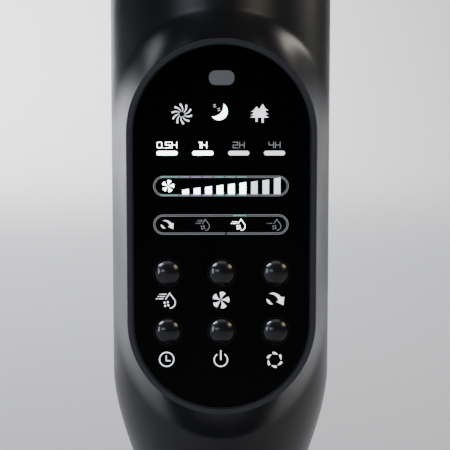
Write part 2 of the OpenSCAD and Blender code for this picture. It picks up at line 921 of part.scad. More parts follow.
module impeller() {
    pitch = (wheel_h - disc_t) / segment_n;
    color("#3b3d40")
    translate([0, 0, wheel_z0])
    difference() {
        union() {
            for (k = [0 : blade_n - 1]) rotate([0, 0, 360 * k / blade_n])
                linear_extrude(wheel_h) polygon(strip(blade_line(), blade_t));
            for (i = [0 : segment_n]) translate([0, 0, i * pitch])
                tube(wheel_r - 0.8, i == 0 || i == segment_n ? 4 : wheel_r - blade_depth - 3, disc_t);
            cylinder(r = bush_r + 3, h = hub_h);
            translate([0, 0, wheel_h - 6]) cylinder(r = 8, h = 6);
        }
        translate([0, 0, -1]) cylinder(r = bush_r, h = hub_h + 1);
        translate([0, 0, wheel_h - 7]) cylinder(r = 3, h = 10);
    }
}

module impeller_bush() {
    color("#1a1a1a") translate([0, 0, wheel_z0 - 3]) tube(bush_r, shaft_r, hub_h + 3);
}

module motor_shaft() {
    color("#c9cbce") translate([0, 0, motor_z + 5])
        cylinder(r = shaft_r, h = wheel_z0 + hub_h - motor_z - 5);
}

module top_pin() {
    color("#c9cbce") translate([0, 0, wheel_z0 + wheel_h - 6]) cylinder(r = 3, h = 6 + wheel_gap + 7);
}

module top_bracket() {
    color("#2a2b2d")
    translate([0, 0, bracket_z])
    difference() {
        union() {
            tube(plug_r, 7, bracket_t);
            tube(11, 7, 9);
        }
        for (i = [0 : 5]) rotate([0, 0, 60 * i]) translate([32, 0, -1]) cylinder(r = 9, h = bracket_t + 2);
    }
}

module top_bearing() {
    color("#b98f4a") translate([0, 0, bracket_z]) tube(7, 3 + run_clear, 9);
}

// Spiral wall that turns the air towards the outlet
window_a = 60;
function scroll_line() = [for (i = [0 : 12])
    let (u = i / 12, a = 30 - (117 - window_a) * u)
    polar(wheel_r + 4 + (inner_r - wheel_r - 5.5) * pow(u, 0.9), a)];

module scroll_wall() {
    color("#2a2b2d") translate([0, 0, blower_z0]) linear_extrude(blower_h)
        polygon(strip(scroll_line(), 1.6));
}

// Wedge that parts the outgoing air from the air coming in
module vortex_tongue() {
    edge = inner_r - 1.2;
    color("#2a2b2d") translate([0, 0, blower_z0]) linear_extrude(blower_h)
        polygon(strip([
            polar(edge, 180 + 90 - window_a - 2),
            polar(wheel_r + 6, 180 + 18),
            polar(wheel_r + 3, 180 + 6),
            polar(wheel_r + 6, 180 - 6),
            polar(edge, 180 - 14)
        ], 1.4));
}

/* Upper shells, grilles and cap */

window_z0 = blower_z0 + 12;
window_z1 = bracket_z - 12;
fin_t = 1.5;
fin_depth = 5;
rib_h = 2;
shell_side = 42;
shell_screw_z = [upper_z + 24];

// Upright shell of half the tower, with a window of fins and cross ribs
module grille(half_angle, fin_n, rib_n, facing) {
    span = window_z1 - window_z0;
    rotate([0, 0, facing]) {
        difference() {
            translate([0, 0, upper_z]) tube(tower_r, inner_r, shell_top - upper_z);
            translate([-2 * tower_r, -seam / 2, 0]) cube([4 * tower_r, 4 * tower_r, cap_top]);
            translate([0, 0, window_z0]) linear_extrude(span) polygon([[0, 0],
                for (i = [-6 : 6]) polar(tower_r * 1.4, -90 + half_angle * i / 6)]);
        }
        for (k = [-fin_n : fin_n]) rotate([0, 0, half_angle * k / (fin_n + 0.5)])
            translate([-fin_t / 2, -tower_r + 0.1, window_z0 - 1]) cube([fin_t, fin_depth, span + 2]);
        for (i = [1 : rib_n])
            translate([0, 0, window_z0 + span * i / (rib_n + 1) - rib_h / 2])
                rotate_extrude(angle = 2 * half_angle + 2, start = -91 - half_angle)
                    translate([tower_r - fin_depth + 0.6, 0]) square([fin_depth - 2, rib_h]);
    }
}

module shell_posts(depth) {
    intersection() {
        cylinder(r = tower_r - wall / 2, h = cap_top);
        screw_posts(shell_side, shell_screw_z, depth);
    }
}

module outlet_grille() {
    color("#232426")
    difference() {
        union() {
            grille(window_a, 13, 6, 0);
            shell_posts(-tower_r);
        }
        screw_lines(shell_side, shell_screw_z, 1.2, -12, 1);
    }
}

module intake_grille() {
    color("#232426")
    difference() {
        union() {
            grille(70, 11, 9, 180);
            shell_posts(tower_r);
        }
        screw_lines(shell_side, shell_screw_z, screw_r, -1, tower_r + 1);
        screw_lines(shell_side, shell_screw_z, screw_head_r + 0.3, 14, tower_r + 1);
    }
}

module dust_filter() {
    color("#55585c") translate([0, 0, window_z0 - 4])
        rotate_extrude(angle = 140, start = 20)
            translate([tower_r - fin_depth - 0.9, 0]) square([0.8, window_z1 - window_z0 + 8]);
}

handle_w = 76;
handle_h = 26;
handle_z = shell_top + 6;
handle_front = 26;
cap_round = 12;

function cap_profile(inset) = [for (i = [0 : 8])
    let (a = 90 * i / 8)
    [tower_r - cap_round + (cap_round - inset) * cos(a), cap_top - cap_round + (cap_round - inset) * sin(a)]];

module top_cap() {
    color("#202123")
    difference() {
        union() {
            rotate_extrude() polygon(concat([[0, shell_top], [tower_r, shell_top]],
                cap_profile(0), [[0, cap_top]]));
            translate([0, 0, shell_top - 8]) cylinder(r = plug_r, h = 9);
        }
        rotate_extrude() polygon(concat([[0, shell_top - 9], [plug_r - wall, shell_top - 9],
            [plug_r - wall, shell_top]], cap_profile(wall + 0.4), [[0, cap_top - wall]]));
        translate([-handle_w / 2, handle_front, handle_z]) cube([handle_w, tower_r, handle_h]);
    }
}

// Liner that closes the hand recess at the back of the cap
module handle_cup() {
    t = 2;
    color("#202123")
    intersection() {
        difference() {
            translate([-handle_w / 2, handle_front, handle_z]) cube([handle_w, tower_r, handle_h]);
            translate([-handle_w / 2 + t, handle_front + t, handle_z + t])
                cube([handle_w - 2 * t, tower_r, handle_h - 2 * t]);
        }
        cylinder(r = tower_r - 0.6, h = cap_top);
    }
}

base_plate();
base_cover();
ballast_ring();
base_feet();
base_screws();
pivot_post();
glide_ring();
retainer_ring();
swing_gear();
power_inlet();
neck_collar();
swivel_bush();
swing_bracket();
swing_motor();
swing_pinion();
front_housing();
rear_housing();
housing_screws();
bezel();
display_glass();
panel_frame();
light_box();
display_leds();
control_board();
tact_switches();
board_screws();
for (b = button_names) button(b[1], b[2]);
mist_basin();
mist_maker();
mist_duct();
mist_nozzle();
spout_seal();
water_tank();
tank_cap();
main_board();
board_components();
motor_deck();
motor_dampers();
fan_motor();
motor_screws();
end_plate();
scroll_wall();
vortex_tongue();
impeller();
impeller_bush();
motor_shaft();
top_pin();
top_bracket();
top_bearing();
outlet_grille();
intake_grille();
dust_filter();
top_cap();
handle_cup();
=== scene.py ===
"""Slim tower fan with a mist system: visible pieces, finishes and studio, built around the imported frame."""
import json
import math

import bpy
from mathutils import Matrix, Quaternion, Vector

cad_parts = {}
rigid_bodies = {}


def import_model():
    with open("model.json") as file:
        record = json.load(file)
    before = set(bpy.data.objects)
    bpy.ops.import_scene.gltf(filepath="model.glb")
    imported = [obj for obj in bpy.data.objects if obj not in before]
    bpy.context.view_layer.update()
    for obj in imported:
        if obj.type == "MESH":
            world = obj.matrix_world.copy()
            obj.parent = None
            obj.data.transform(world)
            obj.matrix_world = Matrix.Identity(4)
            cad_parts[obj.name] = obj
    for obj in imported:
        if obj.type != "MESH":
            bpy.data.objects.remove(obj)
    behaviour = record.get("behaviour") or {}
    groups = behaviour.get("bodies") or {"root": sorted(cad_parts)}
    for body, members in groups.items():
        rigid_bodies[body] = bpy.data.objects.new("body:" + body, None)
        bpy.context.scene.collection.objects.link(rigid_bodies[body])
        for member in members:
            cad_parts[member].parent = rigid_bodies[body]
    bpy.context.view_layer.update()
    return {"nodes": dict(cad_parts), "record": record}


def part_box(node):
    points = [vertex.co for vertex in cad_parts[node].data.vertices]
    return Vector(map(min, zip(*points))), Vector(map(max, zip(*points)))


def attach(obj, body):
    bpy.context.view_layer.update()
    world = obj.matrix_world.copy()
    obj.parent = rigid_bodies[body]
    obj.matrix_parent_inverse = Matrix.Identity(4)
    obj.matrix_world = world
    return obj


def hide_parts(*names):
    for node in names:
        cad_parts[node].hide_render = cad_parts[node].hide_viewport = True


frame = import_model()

bl_info = {
    "name": "Tower fan builder",
    "version": (1, 0, 0),
    "blender": (4, 5, 0),
    "location": "3D View > Sidebar > Tower fan",
    "description": "Builds a mist tower fan's shells, panel, buttons, legends and finishes",
    "category": "Add Mesh",
}

MM = 0.001
NODES = frame["nodes"]
GLASS_LOW, GLASS_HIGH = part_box("display_glass")
BEZEL_LOW, BEZEL_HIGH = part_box("bezel")
HOUSING_LOW, HOUSING_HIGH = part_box("front_housing")
BASE_LOW, BASE_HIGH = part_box("base_cover")
NECK_LOW, NECK_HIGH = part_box("neck_collar")
CAP_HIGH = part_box("top_cap")[1]
NOZZLE_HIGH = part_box("mist_nozzle")[1]
PANEL_Z = (GLASS_LOW.z + GLASS_HIGH.z) / 2
TOWER_R = HOUSING_HIGH.x
# the bezel's hidden flange stands out past what shows of it
FLANGE = 1 * MM
BEZEL_W = BEZEL_HIGH.x - BEZEL_LOW.x - 2 * FLANGE
BEZEL_H = BEZEL_HIGH.z - BEZEL_LOW.z - 2 * FLANGE
KEYS = ["mist", "speed", "swing", "timer", "power", "mode"]


# ---------------------------------------------------------------- sizes and colours

def length(label, text, value):
    return bpy.props.FloatProperty(name=label, description=text, default=value, min=0.0, unit="LENGTH")


def colour(label, text, code):
    return bpy.props.FloatVectorProperty(
        name=label, description=text, default=linear(code)[:3], subtype="COLOR", size=3, min=0.0, max=1.0)


def linear(code):
    """sRGB hex to linear RGBA."""
    parts = [int(code[i:i + 2], 16) / 255 for i in (1, 3, 5)]
    return tuple(c / 12.92 if c <= 0.04045 else ((c + 0.055) / 1.055) ** 2.4 for c in parts) + (1.0,)


class FanShellSizes(bpy.types.PropertyGroup):
    """Sizes of the outer shells."""
    wall: length("Shell wall", "Thickness of the front shell", 1.3 * MM)
    neck_radius: length("Neck radius", "Outer radius where the tower meets its neck", 33 * MM)
    neck_top: length("Neck top", "Height where the neck ends", 88 * MM)
    taper_height: length("Taper", "Height over which the neck swells to the tower", 107 * MM)
    end_spread: length("End spread", "How far the panel boss fades above and below the bezel", 15 * MM)
    cap_round: length("Cap rounding", "Radius of the top cap's edge", 12 * MM)
    base_platform: length("Base platform", "Radius of the base's level middle", 48 * MM)


class FanPanelSizes(bpy.types.PropertyGroup):
    """Sizes of the control panel."""
    rim: length("Bezel rim", "Width of the bezel seen from the front", 2.7 * MM)
    edge: length("Bezel edge", "Rounding of the bezel's edges", 0.45 * MM)
    ink: length("Ink thickness", "Thickness of the printed legends", 0.05 * MM)
    button_radius: length("Button radius", "Radius of a domed button", 6.3 * MM)
    dome: length("Button dome", "Height of the dome", 2.6 * MM)


class FanColours(bpy.types.PropertyGroup):
    """Colours a user would change."""
    body: colour("Body", "Satin moulded shells", "#131417")
    bezel: colour("Bezel", "Matte ring round the panel", "#3E4046")
    button: colour("Buttons", "Satin domed keys", "#141518")
    # printed legends; their material gives them a painted glow
    legend: colour("Legends", "Unlit printed legends", "#C9CBD0")
    glow: colour("Glow", "Fringe round the lit legends", "#1FA392")


# ---------------------------------------------------------------- mesh helpers

def deselect():
    if bpy.context.object and bpy.context.object.mode != "OBJECT":
        bpy.ops.object.mode_set(mode="OBJECT")
    for o in bpy.context.view_layer.objects:
        o.select_set(False)


def make_active(obj):
    deselect()
    obj.select_set(True)
    bpy.context.view_layer.objects.active = obj
    return obj


def apply_modifier(obj, kind, **settings):
    make_active(obj)
    mod = obj.modifiers.new(kind.title(), kind)
    for key, value in settings.items():
        setattr(mod, key, value)
    bpy.ops.object.modifier_apply(modifier=mod.name)


def in_edit(obj, *steps):
    """Runs edit-mode operators on the whole mesh."""
    make_active(obj)
    bpy.ops.object.mode_set(mode="EDIT")
    bpy.ops.mesh.select_all(action="SELECT")
    for operator, settings in steps:
        operator(**settings)
    bpy.ops.object.mode_set(mode="OBJECT")


def smooth(obj, degrees=35):
    make_active(obj)
    bpy.ops.object.shade_smooth_by_angle(angle=math.radians(degrees))


def tidy_mesh(obj, merge=1e-6):
    in_edit(obj,
            (bpy.ops.mesh.remove_doubles, {"threshold": merge}),
            (bpy.ops.mesh.dissolve_degenerate, {"threshold": merge}),
            (bpy.ops.mesh.normals_make_consistent, {"inside": False}))


def sheet_of(name, rows):
    """A grid set to rows of points; equal points merge, so a row can close on itself."""
    deselect()
    bpy.ops.mesh.primitive_grid_add(x_subdivisions=len(rows[0]) - 1, y_subdivisions=len(rows) - 1, size=1)
    obj = bpy.context.object
    obj.name = obj.data.name = name
    flat = [p for row in rows for p in row]
    if len(flat) != len(obj.data.vertices):
        raise RuntimeError(f"{name}: the grid has {len(obj.data.vertices)} points for {len(flat)}")
    obj.data.vertices.foreach_set("co", [c for p in flat for c in p])
    obj.data.update()
    tidy_mesh(obj)
    return obj


def lathe(name, profile, steps):
    """Spins a chain of (radius, height) points about the vertical axis."""
    deselect()
    bpy.ops.mesh.primitive_plane_add(size=1 * MM, location=(0, 0, 0))
    obj = bpy.context.object
    obj.name = obj.data.name = name
    bpy.ops.object.mode_set(mode="EDIT")
    bpy.ops.mesh.select_all(action="SELECT")
    bpy.ops.mesh.merge(type="CENTER")
    last = Vector((profile[0][0], 0, profile[0][1]))
    bpy.ops.transform.translate(value=last)
    for radius, height in profile[1:]:
        point = Vector((radius, 0, height))
        bpy.ops.mesh.extrude_vertices_move(TRANSFORM_OT_translate={"value": point - last})
        last = point
    bpy.ops.mesh.select_all(action="SELECT")
    bpy.ops.mesh.spin(steps=steps, angle=2 * math.pi, center=(0, 0, 0), axis=(0, 0, 1))
    bpy.ops.object.mode_set(mode="OBJECT")
    tidy_mesh(obj, 2e-6)
    return obj


def arc(cx, cy, radius, start, end, steps):
    """Points along a round stretch, from one angle in degrees to another."""
    turns = [math.radians(start + (end - start) * i / steps) for i in range(steps + 1)]
    return [(cx + radius * math.cos(a), cy + radius * math.sin(a)) for a in turns]


def cut(obj, low, high, bevel=0.0):
    """Takes a box out of obj, with rounded edges where a bevel is given."""
    low, high = Vector(low), Vector(high)
    deselect()
    bpy.ops.mesh.primitive_cube_add(size=1, location=(low + high) / 2)
    cutter = bpy.context.object
    cutter.scale = high - low
    bpy.ops.object.transform_apply(location=True, rotation=True, scale=True)
    if bevel:
        in_edit(cutter, (bpy.ops.mesh.bevel, {"offset": bevel, "segments": 3, "affect": "EDGES"}))
    apply_modifier(obj, "BOOLEAN", operation="DIFFERENCE", object=cutter, solver="EXACT")
    bpy.data.objects.remove(cutter)


def finish_piece(obj, slot, body, replaces, angle=40):
    """Shades a piece, gives it its finish, hangs it on the body it rides, and hides the nodes it stands for.
    """
    smooth(obj, angle)
    obj.data.materials.clear()
    obj.data.materials.append(MATERIALS[slot])
    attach(obj, body)
    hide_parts(*replaces)


# ---------------------------------------------------------------- materials

def add(tree, kind, settings=None, links=None):
    """Adds one node: settings go to its properties or sockets, links name a socket and what feeds it."""
    made = tree.nodes.new(kind)
    for key, value in (settings or {}).items():
        if isinstance(key, str) and hasattr(made, key):
            setattr(made, key, value)
        else:
            made.inputs[key].default_value = value
    for key, source in (links or {}).items():
        tree.links.new(source, made.inputs[key])
    return made


def new_material(name):
    made = bpy.data.materials.new(name)
    made.use_nodes = True
    made.node_tree.nodes.clear()
    return made, made.node_tree


def own_space(tree):
    return add(tree, "ShaderNodeTexCoord").outputs["Object"]


def noise(tree, where, size, detail, roughness=0.5):
    """Noise whose grains are about the given size across."""
    made = add(tree, "ShaderNodeTexNoise", {"Scale": 1 / size, "Detail": detail, "Roughness": roughness},
               {"Vector": where})
    return made.outputs["Fac"]


def stretched(tree, where, scale, rotation=(0, 0, 0)):
    made = add(tree, "ShaderNodeMapping", {"Rotation": rotation, "Scale": scale}, {"Vector": where})
    return made.outputs[0]


def shade(base, share):
    """The same colour, darker or lighter by a share."""
    return tuple(min(1, c * share) for c in base[:3]) + (1,)


def two_tone(tree, mask, low, high):
    """Colour between two tones, picked by the mask."""
    return add(tree, "ShaderNodeMix", {"data_type": "RGBA", 6: low, 7: high}, {0: mask}).outputs[2]


def ramp(tree, mask, low, high, start=0.0, end=1.0):
    """Value between low and high, while the mask goes from start to end."""
    settings = {"From Min": start, "From Max": end, "To Min": low, "To Max": high}
    return add(tree, "ShaderNodeMapRange", settings, {"Value": mask}).outputs[0]


def dents(tree, mask, strength, depth):
    return add(tree, "ShaderNodeBump", {"Strength": strength, "Distance": depth}, {"Height": mask}).outputs[0]


def surface(made, tree, settings, links):
    """Ends a material in one shader."""
    shader = add(tree, "ShaderNodeBsdfPrincipled", settings, links)
    add(tree, "ShaderNodeOutputMaterial", {}, {"Surface": shader.outputs[0]})
    return made


def moulded(name, base, roughness, grain_mm=0.35, depth=0.02, spread=0.12, drift=0.06):
    """Moulded plastic: fine spark-eroded grain, gloss that drifts over the part, faint tone variation."""
    made, tree = new_material(name)
    where = own_space(tree)
    grain = noise(tree, where, grain_mm * MM, 3.0, 0.6)
    cloud = noise(tree, where, 45 * MM, 4.0, 0.55)
    tone = two_tone(tree, cloud, shade(base, 1 - spread), shade(base, 1 + spread))
    gloss = ramp(tree, cloud, roughness - drift, roughness + drift, 0.3, 0.7)
    bump = dents(tree, grain, 0.25, depth * MM)
    return surface(made, tree, {"IOR": 1.53}, {"Base Color": tone, "Roughness": gloss, "Normal": bump})


def metal(name, base, roughness, line_mm=0.4, stretch=(1, 1, 12), depth=0.01):
    """Worked metal: fine lines left by rolling or turning, and duller patches."""
    made, tree = new_material(name)
    where = own_space(tree)
    lines = noise(tree, stretched(tree, where, stretch), line_mm * MM, 2.0)
    patch = noise(tree, where, 14 * MM, 3.0)
    tone = two_tone(tree, patch, shade(base, 0.8), base)
    gloss = ramp(tree, patch, roughness - 0.1, roughness + 0.12)
    bump = dents(tree, lines, 0.3, depth * MM)
    return surface(made, tree, {"Metallic": 1.0}, {"Base Color": tone, "Roughness": gloss, "Normal": bump})


def panel_glass(name):
    """Black back-painted acrylic: near mirror gloss with faint slanting wipe marks."""
    made, tree = new_material(name)
    wipes = noise(tree, stretched(tree, own_space(tree), (1, 1, 0.25), (0, 0.6, 0)), 9 * MM, 5.0, 0.65)
    gloss = ramp(tree, wipes, 0.05, 0.16, 0.35, 0.75)
    tone = two_tone(tree, wipes, linear("#020203"), linear("#08090B"))
    return surface(made, tree, {"IOR": 1.49, "Specular IOR Level": 0.08},
                   {"Base Color": tone, "Roughness": gloss})


def lit(name, base, strength, speckle=0.12):
    """Printed or back-lit legend: ink with a slightly uneven cover and its own light, which on marks with no
    lamp behind them is a painted glow.
    """
    made, tree = new_material(name)
    cover = noise(tree, own_space(tree), 0.6 * MM, 3.0)
    tone = two_tone(tree, cover, shade(base, 1 - speckle), base)
    return surface(made, tree, {"Roughness": 0.5, "Emission Strength": strength},
                   {"Base Color": tone, "Emission Color": tone})


def smoked(name):
    """Smoked clear polycarbonate: dark see-through wall with slight flow marks."""
    made, tree = new_material(name)
    flow = noise(tree, own_space(tree), 20 * MM, 3.0)
    gloss = ramp(tree, flow, 0.06, 0.18)
    tone = two_tone(tree, flow, linear("#2A2E33"), linear("#3A4047"))
    return surface(made, tree, {"IOR": 1.58, "Transmission Weight": 0.55},
                   {"Base Color": tone, "Roughness": gloss})


def woven(name, base, pitch_mm):
    """Woven filter mesh: crossing threads, drawn coarser than real so that they show; the gaps between them
    are darkened as painted shade.
    """
    made, tree = new_material(name)
    where = own_space(tree)
    scale = 1 / (math.tau * pitch_mm * MM)
    warp, weft = [add(tree, "ShaderNodeTexWave", {"Scale": scale, "bands_direction": way}, {"Vector": where})
                  for way in ("X", "Z")]
    weave_and_gap_shade = add(tree, "ShaderNodeMath", {"operation": "MAXIMUM"},
                {0: warp.outputs["Fac"], 1: weft.outputs["Fac"]}).outputs[0]
    # painted shade: the gaps between the threads are darkened
    tone = two_tone(tree, weave_and_gap_shade, shade(base, 0.25), base)
    bump = dents(tree, weave_and_gap_shade, 0.5, 0.2 * MM)
    return surface(made, tree, {"Roughness": 0.85}, {"Base Color": tone, "Normal": bump})


MATERIALS = {}


def build_materials(look):
    """Every finish, under the slot or the legend kind that uses it."""
    chosen = (look.body, look.bezel, look.button, look.legend, look.glow)
    body, bezel, button, legend, glow = [tuple(c) + (1,) for c in chosen]
    MATERIALS.update({
        # satin ABS shells: soft wide highlights, a trace of grain
        "satin_black_plastic": moulded("satin_abs", body, 0.32, 0.3, 0.02, drift=0.04),
        # matte ABS ring: duller and greyer than the body
        "bezel_plastic": moulded("matte_abs_bezel", bezel, 0.52, 0.22, 0.04),
        # keys: polished enough for small bright window glints
        "button_plastic": moulded("satin_abs_keys", button, 0.19, 0.5, 0.006, drift=0.02),
        # underside: coarse texture that hides scuffs
        "underbody_plastic": moulded("textured_abs_underside", linear("#1E1F21"), 0.6, 0.6, 0.08),
        # inside mouldings: plain dull dark grey
        "inner_plastic": moulded("matte_abs_inside", linear("#26272A"), 0.55, 0.4, 0.05),
        # glass-filled nylon: dull, with a dry grain; greyer on the wheel
        "inlet_plastic": moulded("glass_filled_nylon", linear("#161617"), 0.5, 0.3, 0.05),
        "wheel_plastic": moulded("glass_filled_wheel", linear("#2E3033"), 0.48, 0.4, 0.06),
        # polypropylene: milky white with a waxy, soft shine
        "white_plastic": moulded("white_polypropylene", linear("#DADCDB"), 0.5, 0.5, 0.03, 0.04),
        # acetal: warm white and slick
        "acetal": moulded("natural_acetal", linear("#E2DFD5"), 0.35, 0.5, 0.02, 0.05),
        # rubber: flat black with a dusty grain
        "foot_rubber": moulded("nitrile_rubber", linear("#131313"), 0.85, 0.5, 0.1, 0.3),
        # solder mask: glossy green that varies over the copper
        "board_laminate": moulded("green_solder_mask", linear("#174C2E"), 0.35, 0.9, 0.03, 0.25),
        # component bodies: dark epoxy, patchy in tone
        "component_mix": moulded("component_epoxy", linear("#3B3D44"), 0.45, 0.6, 0.04, 0.3),
        # phosphor domes: pale yellow with a faint glow
        "led_lens": lit("led_phosphor", linear("#F2F3E4"), 0.4),
        # back-painted acrylic: deep black, with wipe marks only where it catches light
        "black_glass": panel_glass("black_acrylic"),
        # smoked polycarbonate: dark, but the inside shows through
        "smoke_plastic": smoked("smoked_polycarbonate"),
        # zinc plate: bright, bluish and finely brushed
        "zinc_steel": metal("zinc_plated_steel", linear("#B9BCC2"), 0.35),
        # black oxide: near black with a dull metal shine
        "black_steel": metal("black_oxide_steel", linear("#3A3A3C"), 0.45),
        # motor can: rolled grey steel with long lines
        "motor_steel": metal("rolled_motor_steel", linear("#9CA0A6"), 0.4),
        # turned aluminium: pale and clean, with close tool lines
        "pivot_aluminium": metal("turned_aluminium", linear("#C6C9CE"), 0.3, stretch=(1, 1, 8)),
        # cast iron weight: rough and uneven grey
        "ballast_steel": metal("cast_ballast", linear("#55585D"), 0.6, 1.2, (1, 1, 1), 0.1),
        # sintered bronze: warm and grainy, without lines
        "sintered_bronze": metal("sintered_bronze", linear("#A97C43"), 0.45, 0.3, (1, 1, 1)),
        # nylon mesh: an even grey weave, with painted shade in its gaps
        "filter_mesh": woven("nylon_filter_mesh", linear("#4A4D52"), 1.6),
        # screen print: clean grey white, made brighter by a painted glow, as no lamp lies behind it
        "legend": lit("screen_print_ink_painted_glow", legend, 3.0),
        # a mark whose lamp is off: grey, with a faint painted glow
        "dim": lit("unlit_diffuser_painted_glow", linear("#8F9298"), 0.75),
        # a mark whose lamp is on: white, even
        "lamp": lit("lit_diffuser", linear("#F6FBFA"), 8.0, 0.03),
        # colour that spills round the lit marks
        "teal": lit("teal_fringe", glow, 0.5),
        "violet": lit("violet_fringe", linear("#7A5BB0"), 0.5),
        "mint": lit("mint_light_guide", linear("#86C2B4"), 0.5),
        "lilac": lit("lilac_light_guide", linear("#A9A2C8"), 0.5),
        # painted highlight: a thin grey ring of light painted on the cut edge of each key's hole
        "rim": lit("hole_edge_painted_highlight", linear("#34363B"), 0.12),
        # receiver window: smoky grey, speckled, with a faint painted glow
        "mark": lit("receiver_window", linear("#77797E"), 0.25, 0.25),
    })


# ---------------------------------------------------------------- the shells

def ease(t):
    t = max(0.0, min(1.0, t))
    return t * t * (3 - 2 * t)


def body_radius(sizes, z):
    return sizes.neck_radius + (TOWER_R - sizes.neck_radius) * ease((z - sizes.neck_top) / sizes.taper_height)


def capsule_ring(width, height, quarter=32, side=32):
    """Points (x, z) of an upright capsule, anticlockwise from the middle of the right side."""
    r, s = width / 2, (height - width) / 2
    points = [(r, -s + 2 * s * (0.5 + i / side)) for i in range(side // 2)]
    points += [(x, z + s) for x, z in arc(0, 0, r, 0, 180, 2 * quarter)[:-1]]
    points += [(-r, s - 2 * s * i / side) for i in range(side)]
    points += [(x, z - s) for x, z in arc(0, 0, r, 180, 360, 2 * quarter)[:-1]]
    points += [(r, -s + 2 * s * i / side) for i in range(side // 2)]
    return [(x, PANEL_Z + z) for x, z in points]


def boss_depth(sizes, x, z, width, height):
    """How far the front shell lies before the axis: level under the panel, then flaring back to the tube."""
    r = body_radius(sizes, z)
    tube = math.sqrt(max(0.0, r * r - x * x))
    half, straight = width / 2, (height - width) / 2
    over = max(0.0, abs(z - PANEL_Z) - straight)
    reach = math.hypot(x, over)
    past = reach - half
    if past <= 0:
        return -HOUSING_LOW.y
    along = (over / reach) ** 2
    side = TOWER_R - half
    spread = side + (sizes.end_spread - side) * along
    # the flare falls away faster at the sides than at the ends
    fade = (1 - min(1.0, past / spread)) ** (2.3 - along)
    return -HOUSING_LOW.y * fade + tube * (1 - fade)


def front_shell(sizes):
    """Half tube whose grid runs from the panel's opening out to its border, with the mist mouth cut in it."""
    gap, seam = 0.5 * MM, 0.15 * MM
    width, height = BEZEL_W + gap, BEZEL_H + gap
    straight = (height - width) / 2
    low, high = sizes.neck_top, HOUSING_HIGH.z
    lower, upper = low + 70 * MM, high - 40 * MM

    def border(x, z):
        """The matching point of the border, as (share of a quarter turn, height)."""
        over, side = z - PANEL_Z, math.copysign(1, x)
        if abs(over) <= straight:
            return side, lower + (upper - lower) * (over + straight) / (2 * straight)
        angle = math.degrees(math.atan2(abs(over) - straight, abs(x)))
        corner, end = (upper, high) if over > 0 else (lower, low)
        if angle <= 45:
            return side, corner + (end - corner) * angle / 45
        return side * (90 - angle) / 45, end

    inner = capsule_ring(width, height)
    rings, crowding = 56, 1.35
    rows = []
    for k in range(rings + 1):
        u = (k / rings) ** crowding
        row = []
        for x0, z0 in inner + inner[:1]:
            start = math.asin(x0 / body_radius(sizes, z0))
            side, z1 = border(x0, z0)
            edge = math.acos(seam / body_radius(sizes, z1))
            z = z0 + (z1 - z0) * u
            x = body_radius(sizes, z) * math.sin(start + (side * edge - start) * u)
            row.append((x, -boss_depth(sizes, x, z, width, height), z))
        rows.append(row)
    shell = sheet_of("front_shell", rows)
    forwards = sum(1 for p in shell.data.polygons if p.normal.y < 0)
    if forwards <= len(shell.data.polygons) / 2:
        in_edit(shell, (bpy.ops.mesh.flip_normals, {}))
    apply_modifier(shell, "SOLIDIFY", thickness=sizes.wall, offset=-1, use_even_offset=False)

    mouth, middle, tall = NOZZLE_HIGH.x + 0.2 * MM, NOZZLE_HIGH.z - 9 * MM, 6.2 * MM
    ahead, inside = -80 * MM, -45 * MM
    cut(shell, (-mouth, ahead, middle - tall), (mouth, inside, middle + tall), 1.5 * MM)
    finish_piece(shell, "satin_black_plastic", "tower", ["front_housing"], 32)


def base_shell(sizes):
    """Domed cover, hollow below, with openings for the post and the power inlet."""
    r, low, top = BASE_HIGH.x, BASE_LOW.z, BASE_HIGH.z
    flat, rim = sizes.base_platform, low + 14 * MM
    edge, wall, post = 0.8 * MM, 3 * MM, 17 * MM

    def dome(inset, start, end, steps):
        return [(flat + (r - inset - flat) * c, rim - inset + (top - rim) * s)
                for c, s in arc(0, 0, 1, start, end, steps)]

    out = [(r - edge, low)] + arc(r - edge, low + edge, edge, -90, 0, 4)[1:] + dome(0, 0, 90, 40)
    out += [(post, top), (post, top - wall), (flat, top - wall)] + dome(wall, 90, 0, 20)[1:]
    out += [(r - wall, low), (r - edge, low)]
    base = lathe("base_dome", out, 180)

    clear, beyond = 0.3 * MM, 10 * MM
    inlet_low, inlet_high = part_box("power_inlet")
    cut(base, (inlet_low.x - clear, inlet_low.y, inlet_low.z - clear),
        (inlet_high.x + clear, r + beyond, inlet_high.z + clear))
    finish_piece(base, "satin_black_plastic", "base", ["base_cover"])


def neck_shell(sizes):
    """Waisted sleeve on a broad foot, with a spigot that enters the tower."""
    r, low, top = sizes.neck_radius, NECK_LOW.z, sizes.neck_top
    foot, bore, edge, floor = 40 * MM, 24 * MM, 0.8 * MM, 4 * MM
    spigot, inside = r - 2.7 * MM, r - 4.9 * MM
    out = [(bore, low), (foot - edge, low)] + arc(foot - edge, low + edge, edge, -90, 0, 4)[1:]
    waist, steps = 2.4, 32
    out += [(r + (foot - r) * (1 - i / steps) ** waist, low + (top - low) * i / steps)
            for i in range(1, steps + 1)]
    out += [(spigot, top), (spigot, NECK_HIGH.z), (inside, NECK_HIGH.z), (inside, low + floor),
            (bore, low + floor), (bore, low)]
    finish_piece(lathe("neck_sleeve", out, 128), "satin_black_plastic", "tower", ["neck_collar"])


def cap_shell(sizes):
    """Crown with a rounded edge, open below, and open at the back for the hand recess."""
    r, top, low = TOWER_R, CAP_HIGH.z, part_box("outlet_grille")[1].z
    corner, wall, edge = sizes.cap_round, 2.8 * MM, 0.5 * MM
    out = [(r - edge, low)] + arc(r - edge, low + edge, edge, -90, 0, 4)[1:]
    out += arc(r - corner, top - corner, corner, 0, 90, 20)
    out += [(r * 0.4, top), (0, top), (0, top - wall), (r - corner, top - wall)]
    out += arc(r - corner, top - corner, corner - wall, 90, 0, 10)[1:]
    out += [(r - wall, low), (r - edge, low)]
    cap = lathe("crown_cap", out, 144)
    cup_low, cup_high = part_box("handle_cup")
    cut(cap, cup_low, (cup_high.x, TOWER_R + 20 * MM, cup_high.z))
    finish_piece(cap, "satin_black_plastic", "tower", ["top_cap"])


# ---------------------------------------------------------------- the control panel

